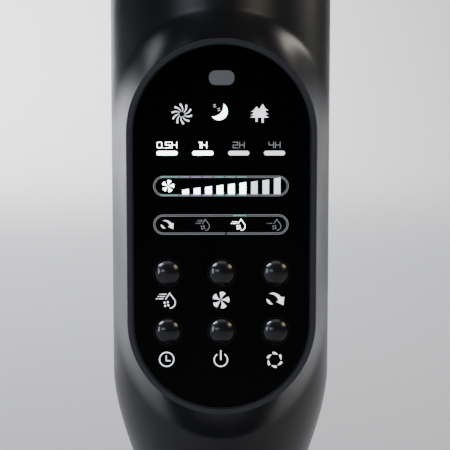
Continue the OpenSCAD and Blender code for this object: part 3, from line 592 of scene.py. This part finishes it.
def bezel_ring(sizes):
    """Rounded ring: a thin lip edges the glass, and behind the rim the wall steps in to clear the shell."""
    front, back, glass = BEZEL_LOW.y, BEZEL_HIGH.y, GLASS_LOW.y - 0.02 * MM
    edge, rim = sizes.edge, sizes.rim
    neck, step, seat, ledge = 1.25 * MM, 1.9 * MM, 1.85 * MM, rim + 3 * MM
    groove, lip, lip_end = glass - 0.1 * MM, rim + 0.3 * MM, rim + 0.55 * MM
    lip_face = glass - 0.6 * MM
    section = [(-neck, back), (-neck, front + step), (0, front + step)]
    section += [(-edge + a, front + edge - b) for a, b in arc(0, 0, edge, 0, 90, 5)]
    section += [(-rim + edge + a, front + edge - b) for a, b in arc(0, 0, edge, 90, 180, 5)]
    section += [(-rim, groove), (-lip, groove), (-lip, lip_face), (-lip_end, lip_face), (-lip_end, glass),
                (-seat, glass), (-seat, GLASS_HIGH.y), (-ledge, GLASS_HIGH.y), (-ledge, back), (-neck, back)]
    rows = []
    for grow, y in section:
        around = capsule_ring(BEZEL_W + 2 * grow, BEZEL_H + 2 * grow)
        rows.append([(x, y, z) for x, z in around + around[:1]])
    finish_piece(sheet_of("bezel_ring", rows), "bezel_plastic", "tower", ["bezel"])


def key_cap(sizes, key):
    """Domed key with a stem behind it: spun upright about its own axis, then turned to face forwards."""
    low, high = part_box(key + "_button")
    centre, deep = (low + high) / 2, high.y - low.y
    r, dome, edge = sizes.button_radius, sizes.dome, 0.25 * MM
    skirt, body, stem = deep - 4.3 * MM, 4.8 * MM, 2.5 * MM
    ball = (r * r + dome * dome) / (2 * dome)
    # the dome stops just short of the edge, which is rounded
    crown = 0.985 * math.degrees(math.asin(r / ball))
    profile = arc(0, ball, ball, -90, crown - 90, 18)
    end = profile[-1][1]
    profile += [(r - 0.02 * MM, end + edge * 0.6), (r, end + edge * 1.5), (r, skirt), (r, body), (stem, body),
                (stem, deep), (0, deep)]
    cap = lathe(key + "_key_cap", [(p, -q) for p, q in profile], 64)
    cap.data.transform(Matrix.Translation((centre.x, low.y, centre.z)) @ Matrix.Rotation(math.pi / 2, 4, "X"))
    finish_piece(cap, "button_plastic", key + "_key", [key + "_button"], 50)


# ---------------------------------------------------------------- legends
# Outlines are lists of (x, z) points in millimetres; plate() puts them on the glass about the panel's middle.

# how far a mark lies before the fringe that it covers
OVER = 0.06


def plate(name, outlines, material, lift=0.0):
    """Flat print on the glass: each outline is filled, and one inside another is a hole."""
    ink = bpy.context.scene.fan_panel.ink
    data = bpy.data.curves.new(name, "CURVE")
    data.dimensions, data.fill_mode, data.extrude = "2D", "BOTH", ink / 2
    for outline in outlines:
        spline = data.splines.new("POLY")
        spline.points.add(len(outline) - 1)
        for point, (x, z) in zip(spline.points, outline):
            point.co = (x * MM, z * MM, 0, 1)
        spline.use_cyclic_u = True
    obj = bpy.data.objects.new(name, data)
    bpy.context.scene.collection.objects.link(obj)
    make_active(obj)
    bpy.ops.object.convert(target="MESH")
    obj = bpy.context.object
    y = GLASS_LOW.y - ink / 2 - lift * MM
    obj.data.transform(Matrix.Translation((0, y, PANEL_Z)) @ Matrix.Rotation(math.pi / 2, 4, "X"))
    obj.data.materials.clear()
    obj.data.materials.append(MATERIALS[material])
    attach(obj, "tower")


def polar(radius, degrees):
    """Point at a distance and an angle from zero."""
    return radius * math.cos(math.radians(degrees)), radius * math.sin(math.radians(degrees))


def at(x, z, outlines, scale=1.0, turn=0.0):
    """Outlines turned, scaled and set down with their own zero at (x, z)."""
    c, s = polar(scale, turn)
    return [[(x + px * c - pz * s, z + px * s + pz * c) for px, pz in outline] for outline in outlines]


def bar(x0, z0, x1, z1, round_r=0.0):
    """Rectangle between two corners, with round corners where a radius is given."""
    if not round_r:
        return [(x0, z0), (x1, z0), (x1, z1), (x0, z1)]
    out = []
    for cx, cz, a in ((x1 - round_r, z1 - round_r, 0), (x0 + round_r, z1 - round_r, 90),
                      (x0 + round_r, z0 + round_r, 180), (x1 - round_r, z0 + round_r, 270)):
        out += arc(cx, cz, round_r, a, a + 90, 8)
    return out


def stroke(points, width):
    """Outline of an open line; width is one value, or one for each point."""
    widths = width if isinstance(width, list) else [width] * len(points)
    left, right = [], []
    for i, (x, z) in enumerate(points):
        into = Vector(points[i]) - Vector(points[max(0, i - 1)])
        away = Vector(points[min(len(points) - 1, i + 1)]) - Vector(points[i])
        along = (into.normalized() + away.normalized()).normalized()
        straight = max(0.5, along.dot((into if into.length else away).normalized()))
        nx, nz = -along.y * widths[i] / 2 / straight, along.x * widths[i] / 2 / straight
        left.append((x + nx, z + nz))
        right.append((x - nx, z - nz))
    return left + right[::-1]


def ring(radius, width):
    return [arc(0, 0, r, 0, 360, 48)[:-1] for r in (radius, radius - width)]


def blade_wheel(blades, inner, outer, share):
    """Broad fan blades that meet near the hub and end in a bulge."""
    half, steps, first, sweep = 180 / blades * share, 6, 86, -10
    out = []
    for k in range(blades):
        mid = first + 360 * k / blades
        spine = [(inner + (outer - inner) * t / steps, mid + sweep * t / steps,
                  half * (0.3 + 0.7 * (t / steps) ** 0.6)) for t in range(steps + 1)]
        lead = [polar(r, a - h) for r, a, h in spine]
        trail = [polar(r, a + h) for r, a, h in reversed(spine)]
        tip = [polar(outer * (1 + 0.08 * math.sin(math.pi * t / steps)),
                     mid + sweep - half + 2 * half * t / steps) for t in range(1, steps)]
        out.append(lead + tip + trail)
    return out


def petal_swirl(petals, inner, outer, width, curl):
    """Slim petals with round tips that curl out of an open middle."""
    tip, steps = width / 2, 8
    out = []
    for k in range(petals):
        first = 360 * k / petals
        spine = [(inner + (outer - tip - inner) * t / steps, first + curl * (t / steps) ** 1.2,
                  tip * (0.15 + 0.85 * t / steps)) for t in range(steps + 1)]
        lead = [polar(r, a - math.degrees(h / r)) for r, a, h in spine]
        trail = [polar(r, a + math.degrees(h / r)) for r, a, h in reversed(spine)]
        end = first + curl
        out.append(lead + arc(*polar(outer - tip, end), tip, end - 80, end + 80, 8) + trail)
    return out


def crescent(radius, bite, away, direction):
    """Moon: a disc less a larger disc whose centre lies away from it."""
    spread = math.degrees(math.acos((radius ** 2 + away ** 2 - bite ** 2) / (2 * radius * away)))
    back = math.degrees(math.acos((bite ** 2 + away ** 2 - radius ** 2) / (2 * bite * away)))
    outer = arc(0, 0, radius, direction + spread, direction + 360 - spread, 40)
    inner = arc(*polar(away, direction), bite, direction + 180 + back, direction + 180 - back, 24)
    return outer + inner[1:-1]


def pine(height, half):
    """Pine with three jagged tiers and a trunk, from the middle of its foot."""
    tiers = [(0.9, 0.66), (0.95, 0.45), (1.0, 0.28)]
    side = [(0, height)]
    for reach, drop in tiers:
        side += [(half * reach * 0.52, height * (drop + 0.09)), (half * reach, height * drop),
                 (half * reach * 0.5, height * (drop - 0.015))]
    side += [(half * 0.16, height * 0.265), (half * 0.16, 0)]
    return side + [(-x, z) for x, z in reversed(side[1:])]


def mist_symbol(lines, line=0.52):
    """Speed lines that run into an open drop, with a four-blade wheel under its open side."""
    drop = [(-0.1, 0.4), (2.1, 3.7)] + arc(2.1, -1.3, 2.9, 38, -90, 16)
    out = [stroke(drop, line)]
    out += [at(0.4, -2.0, at(*polar(1.2, a), [bar(-0.56, -0.5, 0.56, 0.5, 0.46)], 1, a))[0] for a in
            (55, 145, 235, 325)]
    dashes = [((-5.1, -4.1), (-3.6, -1.1)), ((-4.2, -3.4), (-3.1, -0.3)), ((-3.3, -2.6), (-2.3, 0.5))]
    tall = line * 0.4
    for i, row in enumerate(dashes[:lines]):
        z = 0.75 + 1.2 * i
        out += [[(x0 - 0.15, z - tall), (x1 - 0.15, z - tall), (x1 + 0.15, z + tall), (x0 + 0.15, z + tall)]
                for x0, x1 in row]
    return out


def swing_symbol():
    """Broad arrow that sweeps over to the lower right, and the tail of its other end."""
    arrow = [(-3.1, 2.65), (-2.0, 3.05), (-0.8, 3.15), (0.3, 2.85), (1.2, 2.4), (2.2, 1.65), (3.0, 0.87),
             (4.4, 0.97), (4.05, -3.2), (0.45, -1.45), (1.5, -0.9), (1.4, -0.1), (1.0, 0.6), (0.2, 1.5),
             (-0.8, 2.15), (-1.9, 2.5)]
    tail = [(-4.4, 0.1), (-4.4, -0.7), (-4.15, -1.45), (-3.5, -2.2), (-2.6, -2.7), (-1.2, -2.7),
            (-2.35, -1.7), (-3.1, -0.65)]
    return [arrow, tail]


def glyph(kind, w=2.7, h=3.2, t=0.4):
    """Squared figure or letter from its lower left corner, and its width."""
    low, high = (h - t) / 2, (h + t) / 2
    shapes = {
        "0": [bar(0, 0, w, h, 0.6), bar(t, t, w - t, h - t, 0.2)],
        "H": [[(0, 0), (t, 0), (t, low), (w - t, low), (w - t, 0), (w, 0), (w, h), (w - t, h), (w - t, high),
               (t, high), (t, h), (0, h)]],
        "1": [[(0, h), (0, h - t), (0.6, h - t), (0.6, 0), (0.6 + t, 0), (0.6 + t, h)]],
        ".": [bar(0, 0, t, t)],
        "5": [[(0, 0), (w, 0), (w, high), (t, high), (t, h - t), (w, h - t), (w, h), (0, h), (0, low),
               (w - t, low), (w - t, t), (0, t)]],
        "2": [[(w, 0), (0, 0), (0, high), (w - t, high), (w - t, h - t), (0, h - t), (0, h), (w, h), (w, low),
               (t, low), (t, t), (w, t)]],
        "4": [[(0, h), (0, low), (w - t, low), (w - t, 0), (w, 0), (w, h), (w - t, h), (w - t, high),
               (t, high), (t, h)]],
    }[kind]
    return shapes, max(x for x, _ in shapes[0])


def label(text, cx, low, gap=0.52):
    """Figures side by side, centred on cx and standing on low."""
    out, x = [], 0.0
    for kind in text:
        shapes, wide = glyph(kind)
        out += at(x, 0, shapes)
        x += wide + gap
    return at(cx - (x - gap) / 2, low, out)


def capsule_bar(cx, half, cz, high):
    """Outline of a capsule drawn as two thin lines, one inside the other."""
    out = []
    for inset in (0.06, 0.4, 0.76, 1.06):
        outer = high / 2 - inset
        out.append(bar(cx - half + inset, cz - outer, cx + half - inset, cz + outer, outer - 0.01))
    return out


def mode_legends():
    """Swirl, moon with sleep marks, and two pines."""
    plate("mode_swirl", at(-19.6, 57.0, petal_swirl(10, 1.15, 5.15, 1.04, 26)), "legend")
    moon = crescent(4.3, 5.3, 4.1, 137.5)
    plate("mode_moon_fringe", at(-1.35, 58.3, [moon], 1.05), "teal")
    plate("mode_moon", at(-1.35, 58.3, [moon]), "lamp", OVER)
    zed = stroke([(-0.7, 0.6), (0.65, 0.6), (-0.6, -0.6), (0.75, -0.6)], 0.17)
    plate("mode_sleep_marks", at(-3.45, 61.0, [zed], 0.9, 12) + at(-1.35, 59.2, [zed], 0.9, 12), "legend")
    plate("mode_pine_left", at(17.2, 53.2, [pine(7.5, 3.1)]), "legend")
    plate("mode_pine_right", at(20.2, 52.7, [pine(9.3, 3.0)]), "legend", OVER)


def timer_legends():
    """Four times, each over a bar; the first two are lit."""
    low, pitch = 36.5, 17.7
    bars = [bar(-5.2, 0.1, 5.2, 2.3, 1.09)]
    for i, (text, on) in enumerate((("0.5H", True), ("1H", True), ("2H", False), ("4H", False))):
        x, name = pitch * (i - 1.525), "timer_" + text.replace(".", "_").lower()
        if on:
            plate(name + "_fringe", at(x, low, at(0, -0.12, bars, 1.03)), "teal")
        plate(name + "_figures", label(text, x, low + 3.6), "lamp" if on else "dim", OVER)
        plate(name + "_bar", at(x, low, bars), "lamp" if on else "legend", OVER)


def speed_legends():
    """Wheel and nine rising bars in a capsule; six bars are lit."""
    middle, half, high = 21.35, 33.65, 10.3
    foot, edge = middle - 4.0, high / 2 - 0.6
    plate("speed_outline", capsule_bar(-0.35, half, middle, high), "dim")
    plate("speed_wheel", at(-26.5, middle, blade_wheel(5, 0.3, 2.85, 0.64)), "lamp")
    plate("speed_wheel_glow", [bar(-30.3, middle + side * edge - 0.4, -21.4, middle + side * edge + 0.4)
                               for side in (-1, 1)], "mint", 0.02)
    pitch, wide, first = 5.68, 3.2, -19.5
    for i in range(9):
        x0, low = first + pitch * i, 2.1 + 0.66 * i + (0.35 if i == 8 else 0)
        shape = [(x0, foot), (x0 + wide, foot), (x0 + wide, foot + low + 0.5), (x0, foot + low)]
        if i < 6:
            left, right = x0 - 0.25, x0 + wide + 0.25
            fringe = [(left, foot - 0.2), (right, foot - 0.2), (right, foot + low + 0.8),
                      (left, foot + low + 0.25)]
            plate(f"speed_bar_fringe_{i + 1}", [fringe], "violet" if i < 3 else "teal")
            glow = [bar(x0 - 1.2, middle + side * edge - 0.4, x0 + wide + 0.2, middle + side * edge + 0.4)
                    for side in (-1, 1)]
            plate(f"speed_glow_{i + 1}", glow, "lilac" if i < 3 else "mint", 0.02)
        plate(f"speed_bar_{i + 1}", [shape], "lamp" if i < 6 else "legend", OVER)


def level_legends():
    """Swing mark and three mist levels in a capsule; the middle level is lit."""
    middle, high = 2.15, 10.2
    edge = high / 2 - 0.6
    plate("level_outline", capsule_bar(-0.35, 33.65, middle, high), "dim")
    plate("level_glow", [bar(5.6, middle + edge - 0.4, 12.0, middle + edge + 0.4)], "mint", 0.02)
    plate("level_outline_break", [bar(1.8, middle - edge - 0.8, 2.5, middle - edge + 0.8)], "black_glass",
          OVER)
    plate("level_swing", at(-27.0, middle, swing_symbol(), 0.72), "legend")
    levels = ((-9.6, 3, 0.5, "dim"), (8.15, 2, 0.44, "lamp"), (25.95, 1, 0.5, "dim"))
    for i, (x, lines, line, kind) in enumerate(levels):
        plate(f"level_mist_{i + 1}", at(x, middle, mist_symbol(lines, line), 0.7), kind)


def key_legends():
    """The mark under each key, and a painted highlight round the edge of each key's hole."""
    plate("legend_mist", at(-28.0, -35.95, mist_symbol(3), 0.96), "legend")
    plate("legend_speed", at(-0.4, -36.0, blade_wheel(5, 0.3, 4.0, 0.62)), "legend")
    plate("legend_swing", at(26.85, -35.4, swing_symbol()), "legend")
    hands = [stroke([(-0.2, 2.0), (-0.2, -0.7), (1.9, -0.7)], 0.48)]
    plate("legend_timer", at(-27.65, -66.1, ring(3.85, 0.56) + hands), "legend")
    gap = stroke([polar(3.35, 122 + 296 * i / 40) for i in range(41)], 0.56)
    plate("legend_power", at(-0.45, -66.4, [gap, bar(-0.34, -0.1, 0.34, 4.9, 0.3)]), "legend")
    blob = [(t / 8, 3.05 + 0.6 * t / 8) for t in range(9)]
    swell = [0.15 + 0.98 * math.sin(math.pi * min(t, 0.93) * 0.62) for t, _ in blob]
    leaves = [stroke([polar(r, 60 * k + 1 + 45 * t) for t, r in blob], swell) for k in range(6)]
    plate("legend_mode", at(26.6, -66.5, leaves), "legend")
    for key in KEYS:
        low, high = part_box(key + "_button")
        middle = (low + high) / (2 * MM)
        # painted highlight: a thin glowing ring round each key's hole
        plate(key + "_hole_edge", at(middle.x, middle.z - PANEL_Z / MM, ring(7.05, 0.14)), "rim")


def legends():
    # the receiver's window is a plain lozenge with a faint painted glow
    plate("receiver_window", [bar(-6.3, 71.2, 6.3, 78.4, 3.2)], "mark")
    for group in (mode_legends, timer_legends, speed_legends, level_legends, key_legends):
        group()


# ---------------------------------------------------------------- CAD nodes that stay

# width of each node's rounded edges, in millimetres
SOFTEN = {"display_glass": 0.35, "outlet_grille": 0.35, "intake_grille": 0.35, "water_tank": 0.6,
          "rear_housing": 0.3, "handle_cup": 0.4, "mist_nozzle": 0.3, "power_inlet": 0.3, "tank_cap": 0.4,
          "base_plate": 0.5, "base_feet": 0.8, "fan_motor": 0.8, "motor_deck": 0.4}


def finish_nodes():
    """Gives each carried-over node its finish, and softens the edges that show."""
    slots = {s["node"]: s["material_slot"] for s in frame["record"]["subparts"]}
    for name, obj in NODES.items():
        obj.data.materials.clear()
        obj.data.materials.append(MATERIALS[slots[name]])
        if name in SOFTEN:
            weld = obj.modifiers.new("Weld", "WELD")
            weld.merge_threshold = 1e-5
            bevel = obj.modifiers.new("Bevel", "BEVEL")
            bevel.width, bevel.segments = SOFTEN[name] * MM, 2
            bevel.limit_method, bevel.angle_limit = "ANGLE", math.radians(50)
            bevel.harden_normals = False


# ---------------------------------------------------------------- studio

def sweep(width, front, back, top, bend):
    """Floor that curves up into a wall behind: a strip pulled along a bent profile."""
    deselect()
    bpy.ops.mesh.primitive_plane_add(size=1, location=(0, 0, 0))
    floor = bpy.context.object
    floor.name = floor.data.name = "studio_floor"
    in_edit(floor, (bpy.ops.mesh.delete, {"type": "ONLY_FACE"}))
    for vertex in floor.data.vertices:
        vertex.co = (math.copysign(width / 2, vertex.co.x), -front if vertex.co.y < 0 else back - bend, 0)
    bpy.ops.object.mode_set(mode="EDIT")
    bpy.ops.mesh.select_all(action="SELECT")
    bpy.ops.mesh.edge_face_add()
    bpy.ops.mesh.select_all(action="DESELECT")
    bpy.ops.object.mode_set(mode="OBJECT")
    for edge in floor.data.edges:
        edge.select = all(floor.data.vertices[v].co.y > 0 for v in edge.vertices)
    bpy.ops.object.mode_set(mode="EDIT")
    last = (back - bend, 0.0)
    for y, z in arc(back - bend, bend, bend, -90, 0, 16)[1:] + [(back, top)]:
        bpy.ops.mesh.extrude_edges_move(TRANSFORM_OT_translate={"value": (0, y - last[0], z - last[1])})
        last = (y, z)
    bpy.ops.object.mode_set(mode="OBJECT")
    return floor


LAMPS = (
    # name, what it lights, place, aim, size, roll and spread in degrees, power in watts, tint
    ("window_left", "all", (-1.05, -1.75, 0.62), (0, 0, 0.34), (0.9, 0.4), 0, 90, 1.1, "#E4ECFF"),
    ("window_right", "all", (1.72, 0.45, 1.0), (0, 0, 0.34), (0.7, 0.9), 0, 90, 3.2, "#FFF9EE"),
    ("room_right", "shell", (1.2, -1.6, 0.62), (0, 0, 0.34), (0.8, 0.4), 0, 90, 0.9, "#FFF3DC"),
    ("glint_side", "keys", (-1.39, -0.86, 0.42), (0, 0, 0.28), (0.16, 0.75), 0, 90, 1.6, "#E4ECFF"),
    ("glint_high", "keys", (-1.12, -0.65, 1.42), (0, 0, 0.28), (0.75, 0.17), 51, 90, 5.2, "#E4ECFF"),
    ("glint_right", "keys", (1.6, -0.75, 1.32), (0, 0, 0.28), (0.85, 0.7), 0, 90, 3.2, "#FFE7B8"),
    ("floor_left", "all", (-3.0, 1.4, 1.9), (-2.8, 1.4, 0), (2.0, 2.0), 0, 130, 45, "#F4F7FF"),
    ("floor_right", "all", (3.2, 1.6, 1.9), (3.0, 1.6, 0), (2.0, 2.0), 0, 130, 8, "#FFFBF2"),
    ("floor_behind", "all", (-0.35, 1.8, 2.5), (-0.3, 2.0, 0), (1.4, 1.8), 0, 100, 21, "#FFFFFF"),
    ("backdrop", "all", (-1.4, 2.7, 2.9), (-1.0, 4.8, 0.5), (1.6, 1.6), 0, 110, 150, "#FFFFFF"),
    ("overhead", "all", (0, -0.6, 4.2), (0, -0.6, 0), (4.0, 4.0), 0, 150, 36, "#FFFFFF"),
)


def studio_floor():
    floor = sweep(width=26.0, front=14.0, back=6.0, top=6.0, bend=2.5)
    paint, tree = new_material("pale_floor")
    surface(paint, tree, {"Base Color": linear("#E4E5E8"), "Roughness": 0.8, "Specular IOR Level": 0.2}, {})
    floor.data.materials.append(paint)
    smooth(floor, 60)


def studio_world():
    """Dim room that brightens towards the far wall."""
    world = bpy.data.worlds.new("studio")
    bpy.context.scene.world = world
    world.use_nodes = True
    tree = world.node_tree
    tree.nodes.clear()
    where = add(tree, "ShaderNodeTexCoord").outputs["Generated"]
    split = add(tree, "ShaderNodeSeparateXYZ", {}, {0: where})
    ahead = add(tree, "ShaderNodeMapRange",
                {"From Min": 0.4, "From Max": 0.98, "interpolation_type": "SMOOTHSTEP"},
                {"Value": split.outputs["Y"]})
    glow = two_tone(tree, ahead.outputs[0], linear("#4B4C50"), linear("#E4E7EB"))
    back = add(tree, "ShaderNodeBackground", {"Strength": 1.0}, {"Color": glow})
    add(tree, "ShaderNodeOutputWorld", {}, {"Surface": back.outputs[0]})


def studio_lamps():
    """Soft windows; those that light only the keys or the shell are linked to them."""
    lit_only = {}
    for group, pieces in (("keys", [key + "_key_cap" for key in KEYS]), ("shell", ["front_shell"])):
        lit_only[group] = bpy.data.collections.new("lit_" + group)
        for piece in pieces:
            lit_only[group].objects.link(bpy.data.objects[piece])
    for name, group, place, aim, size, roll, spread, power, tint in LAMPS:
        data = bpy.data.lights.new(name, "AREA")
        data.shape, data.size, data.size_y = "RECTANGLE", size[0], size[1]
        data.energy, data.color = power, linear(tint)[:3]
        data.spread = math.radians(spread)
        lamp = bpy.data.objects.new(name, data)
        lamp.location = place
        lamp.rotation_mode = "QUATERNION"
        turned = Quaternion((0, 0, 1), math.radians(roll))
        lamp.rotation_quaternion = (Vector(aim) - Vector(place)).to_track_quat("-Z", "Y") @ turned
        bpy.context.scene.collection.objects.link(lamp)
        lamp.light_linking.receiver_collection = lit_only.get(group)


def studio_camera():
    """Looks a little down on the panel, from just left of its middle."""
    data = bpy.data.cameras.new("studio_camera")
    data.sensor_width, data.lens = 36.0, 120.0
    camera = bpy.data.objects.new("studio_camera", data)
    bpy.context.scene.collection.objects.link(camera)
    down, turn, far = math.radians(7.2), math.radians(-0.7), 0.7455
    aside, above = 1.65 * MM, 1.9 * MM
    target = Vector((aside, GLASS_LOW.y, PANEL_Z + above))
    back = Vector((math.sin(turn) * math.cos(down), -math.cos(turn) * math.cos(down), math.sin(down)))
    camera.location = target + back * far
    camera.rotation_mode = "QUATERNION"
    camera.rotation_quaternion = (-back).to_track_quat("-Z", "Y")
    bpy.context.scene.camera = camera


# ---------------------------------------------------------------- operators and panel

class BuilderOperator:
    """What every step of the builder shares"""
    bl_options = {"REGISTER", "UNDO"}


class FAN_OT_finishes(BuilderOperator, bpy.types.Operator):
    """Makes every finish and gives each carried-over part its own"""
    bl_idname = "fan.finishes"
    bl_label = "Finishes"

    def execute(self, context):
        build_materials(context.scene.fan_colours)
        finish_nodes()
        return {"FINISHED"}


class FAN_OT_front_shell(BuilderOperator, bpy.types.Operator):
    """Makes the front shell, whose panel boss flows into the tube"""
    bl_idname = "fan.front_shell"
    bl_label = "Front shell"

    def execute(self, context):
        front_shell(context.scene.fan_shells)
        return {"FINISHED"}


class FAN_OT_round_shells(BuilderOperator, bpy.types.Operator):
    """Spins the base dome, the neck sleeve and the crown cap"""
    bl_idname = "fan.round_shells"
    bl_label = "Base, neck and cap"

    def execute(self, context):
        for make in (base_shell, neck_shell, cap_shell):
            make(context.scene.fan_shells)
        return {"FINISHED"}


class FAN_OT_bezel(BuilderOperator, bpy.types.Operator):
    """Makes the bezel ring with rounded edges"""
    bl_idname = "fan.bezel"
    bl_label = "Bezel"

    def execute(self, context):
        bezel_ring(context.scene.fan_panel)
        return {"FINISHED"}


class FAN_OT_keys(BuilderOperator, bpy.types.Operator):
    """Spins the six domed keys"""
    bl_idname = "fan.keys"
    bl_label = "Keys"

    def execute(self, context):
        for key in KEYS:
            key_cap(context.scene.fan_panel, key)
        return {"FINISHED"}


class FAN_OT_legends(BuilderOperator, bpy.types.Operator):
    """Prints the legends and the lit marks on the glass"""
    bl_idname = "fan.legends"
    bl_label = "Legends"

    def execute(self, context):
        legends()
        return {"FINISHED"}


class FAN_OT_studio(BuilderOperator, bpy.types.Operator):
    """Sets up the floor, the lamps and the camera"""
    bl_idname = "fan.studio"
    bl_label = "Studio"

    def execute(self, context):
        for make in (studio_floor, studio_world, studio_lamps, studio_camera):
            make()
        return {"FINISHED"}


OPERATORS = (FAN_OT_finishes, FAN_OT_front_shell, FAN_OT_round_shells, FAN_OT_bezel, FAN_OT_keys,
             FAN_OT_legends, FAN_OT_studio)


class FAN_PT_builder(bpy.types.Panel):
    """Lists the builder's steps and settings"""
    bl_label = "Tower fan"
    bl_idname = "FAN_PT_builder"
    bl_space_type = "VIEW_3D"
    bl_region_type = "UI"
    bl_category = "Tower fan"

    def draw(self, context):
        for group in ("fan_shells", "fan_panel", "fan_colours"):
            settings = getattr(context.scene, group)
            box = self.layout.box()
            for key in type(settings).__annotations__:
                box.prop(settings, key)
        for made in OPERATORS:
            self.layout.operator(made.bl_idname)


GROUPS = (("fan_shells", FanShellSizes), ("fan_panel", FanPanelSizes), ("fan_colours", FanColours))


def register():
    for name, group in GROUPS:
        bpy.utils.register_class(group)
        setattr(bpy.types.Scene, name, bpy.props.PointerProperty(type=group))
    for made in OPERATORS + (FAN_PT_builder,):
        bpy.utils.register_class(made)


def unregister():
    for made in reversed(OPERATORS + (FAN_PT_builder,)):
        bpy.utils.unregister_class(made)
    for name, group in reversed(GROUPS):
        delattr(bpy.types.Scene, name)
        bpy.utils.unregister_class(group)


def main():
    register()
    for step in OPERATORS:
        family, verb = step.bl_idname.split(".")
        getattr(getattr(bpy.ops, family), verb)()


if __name__ == "__main__":
    main()
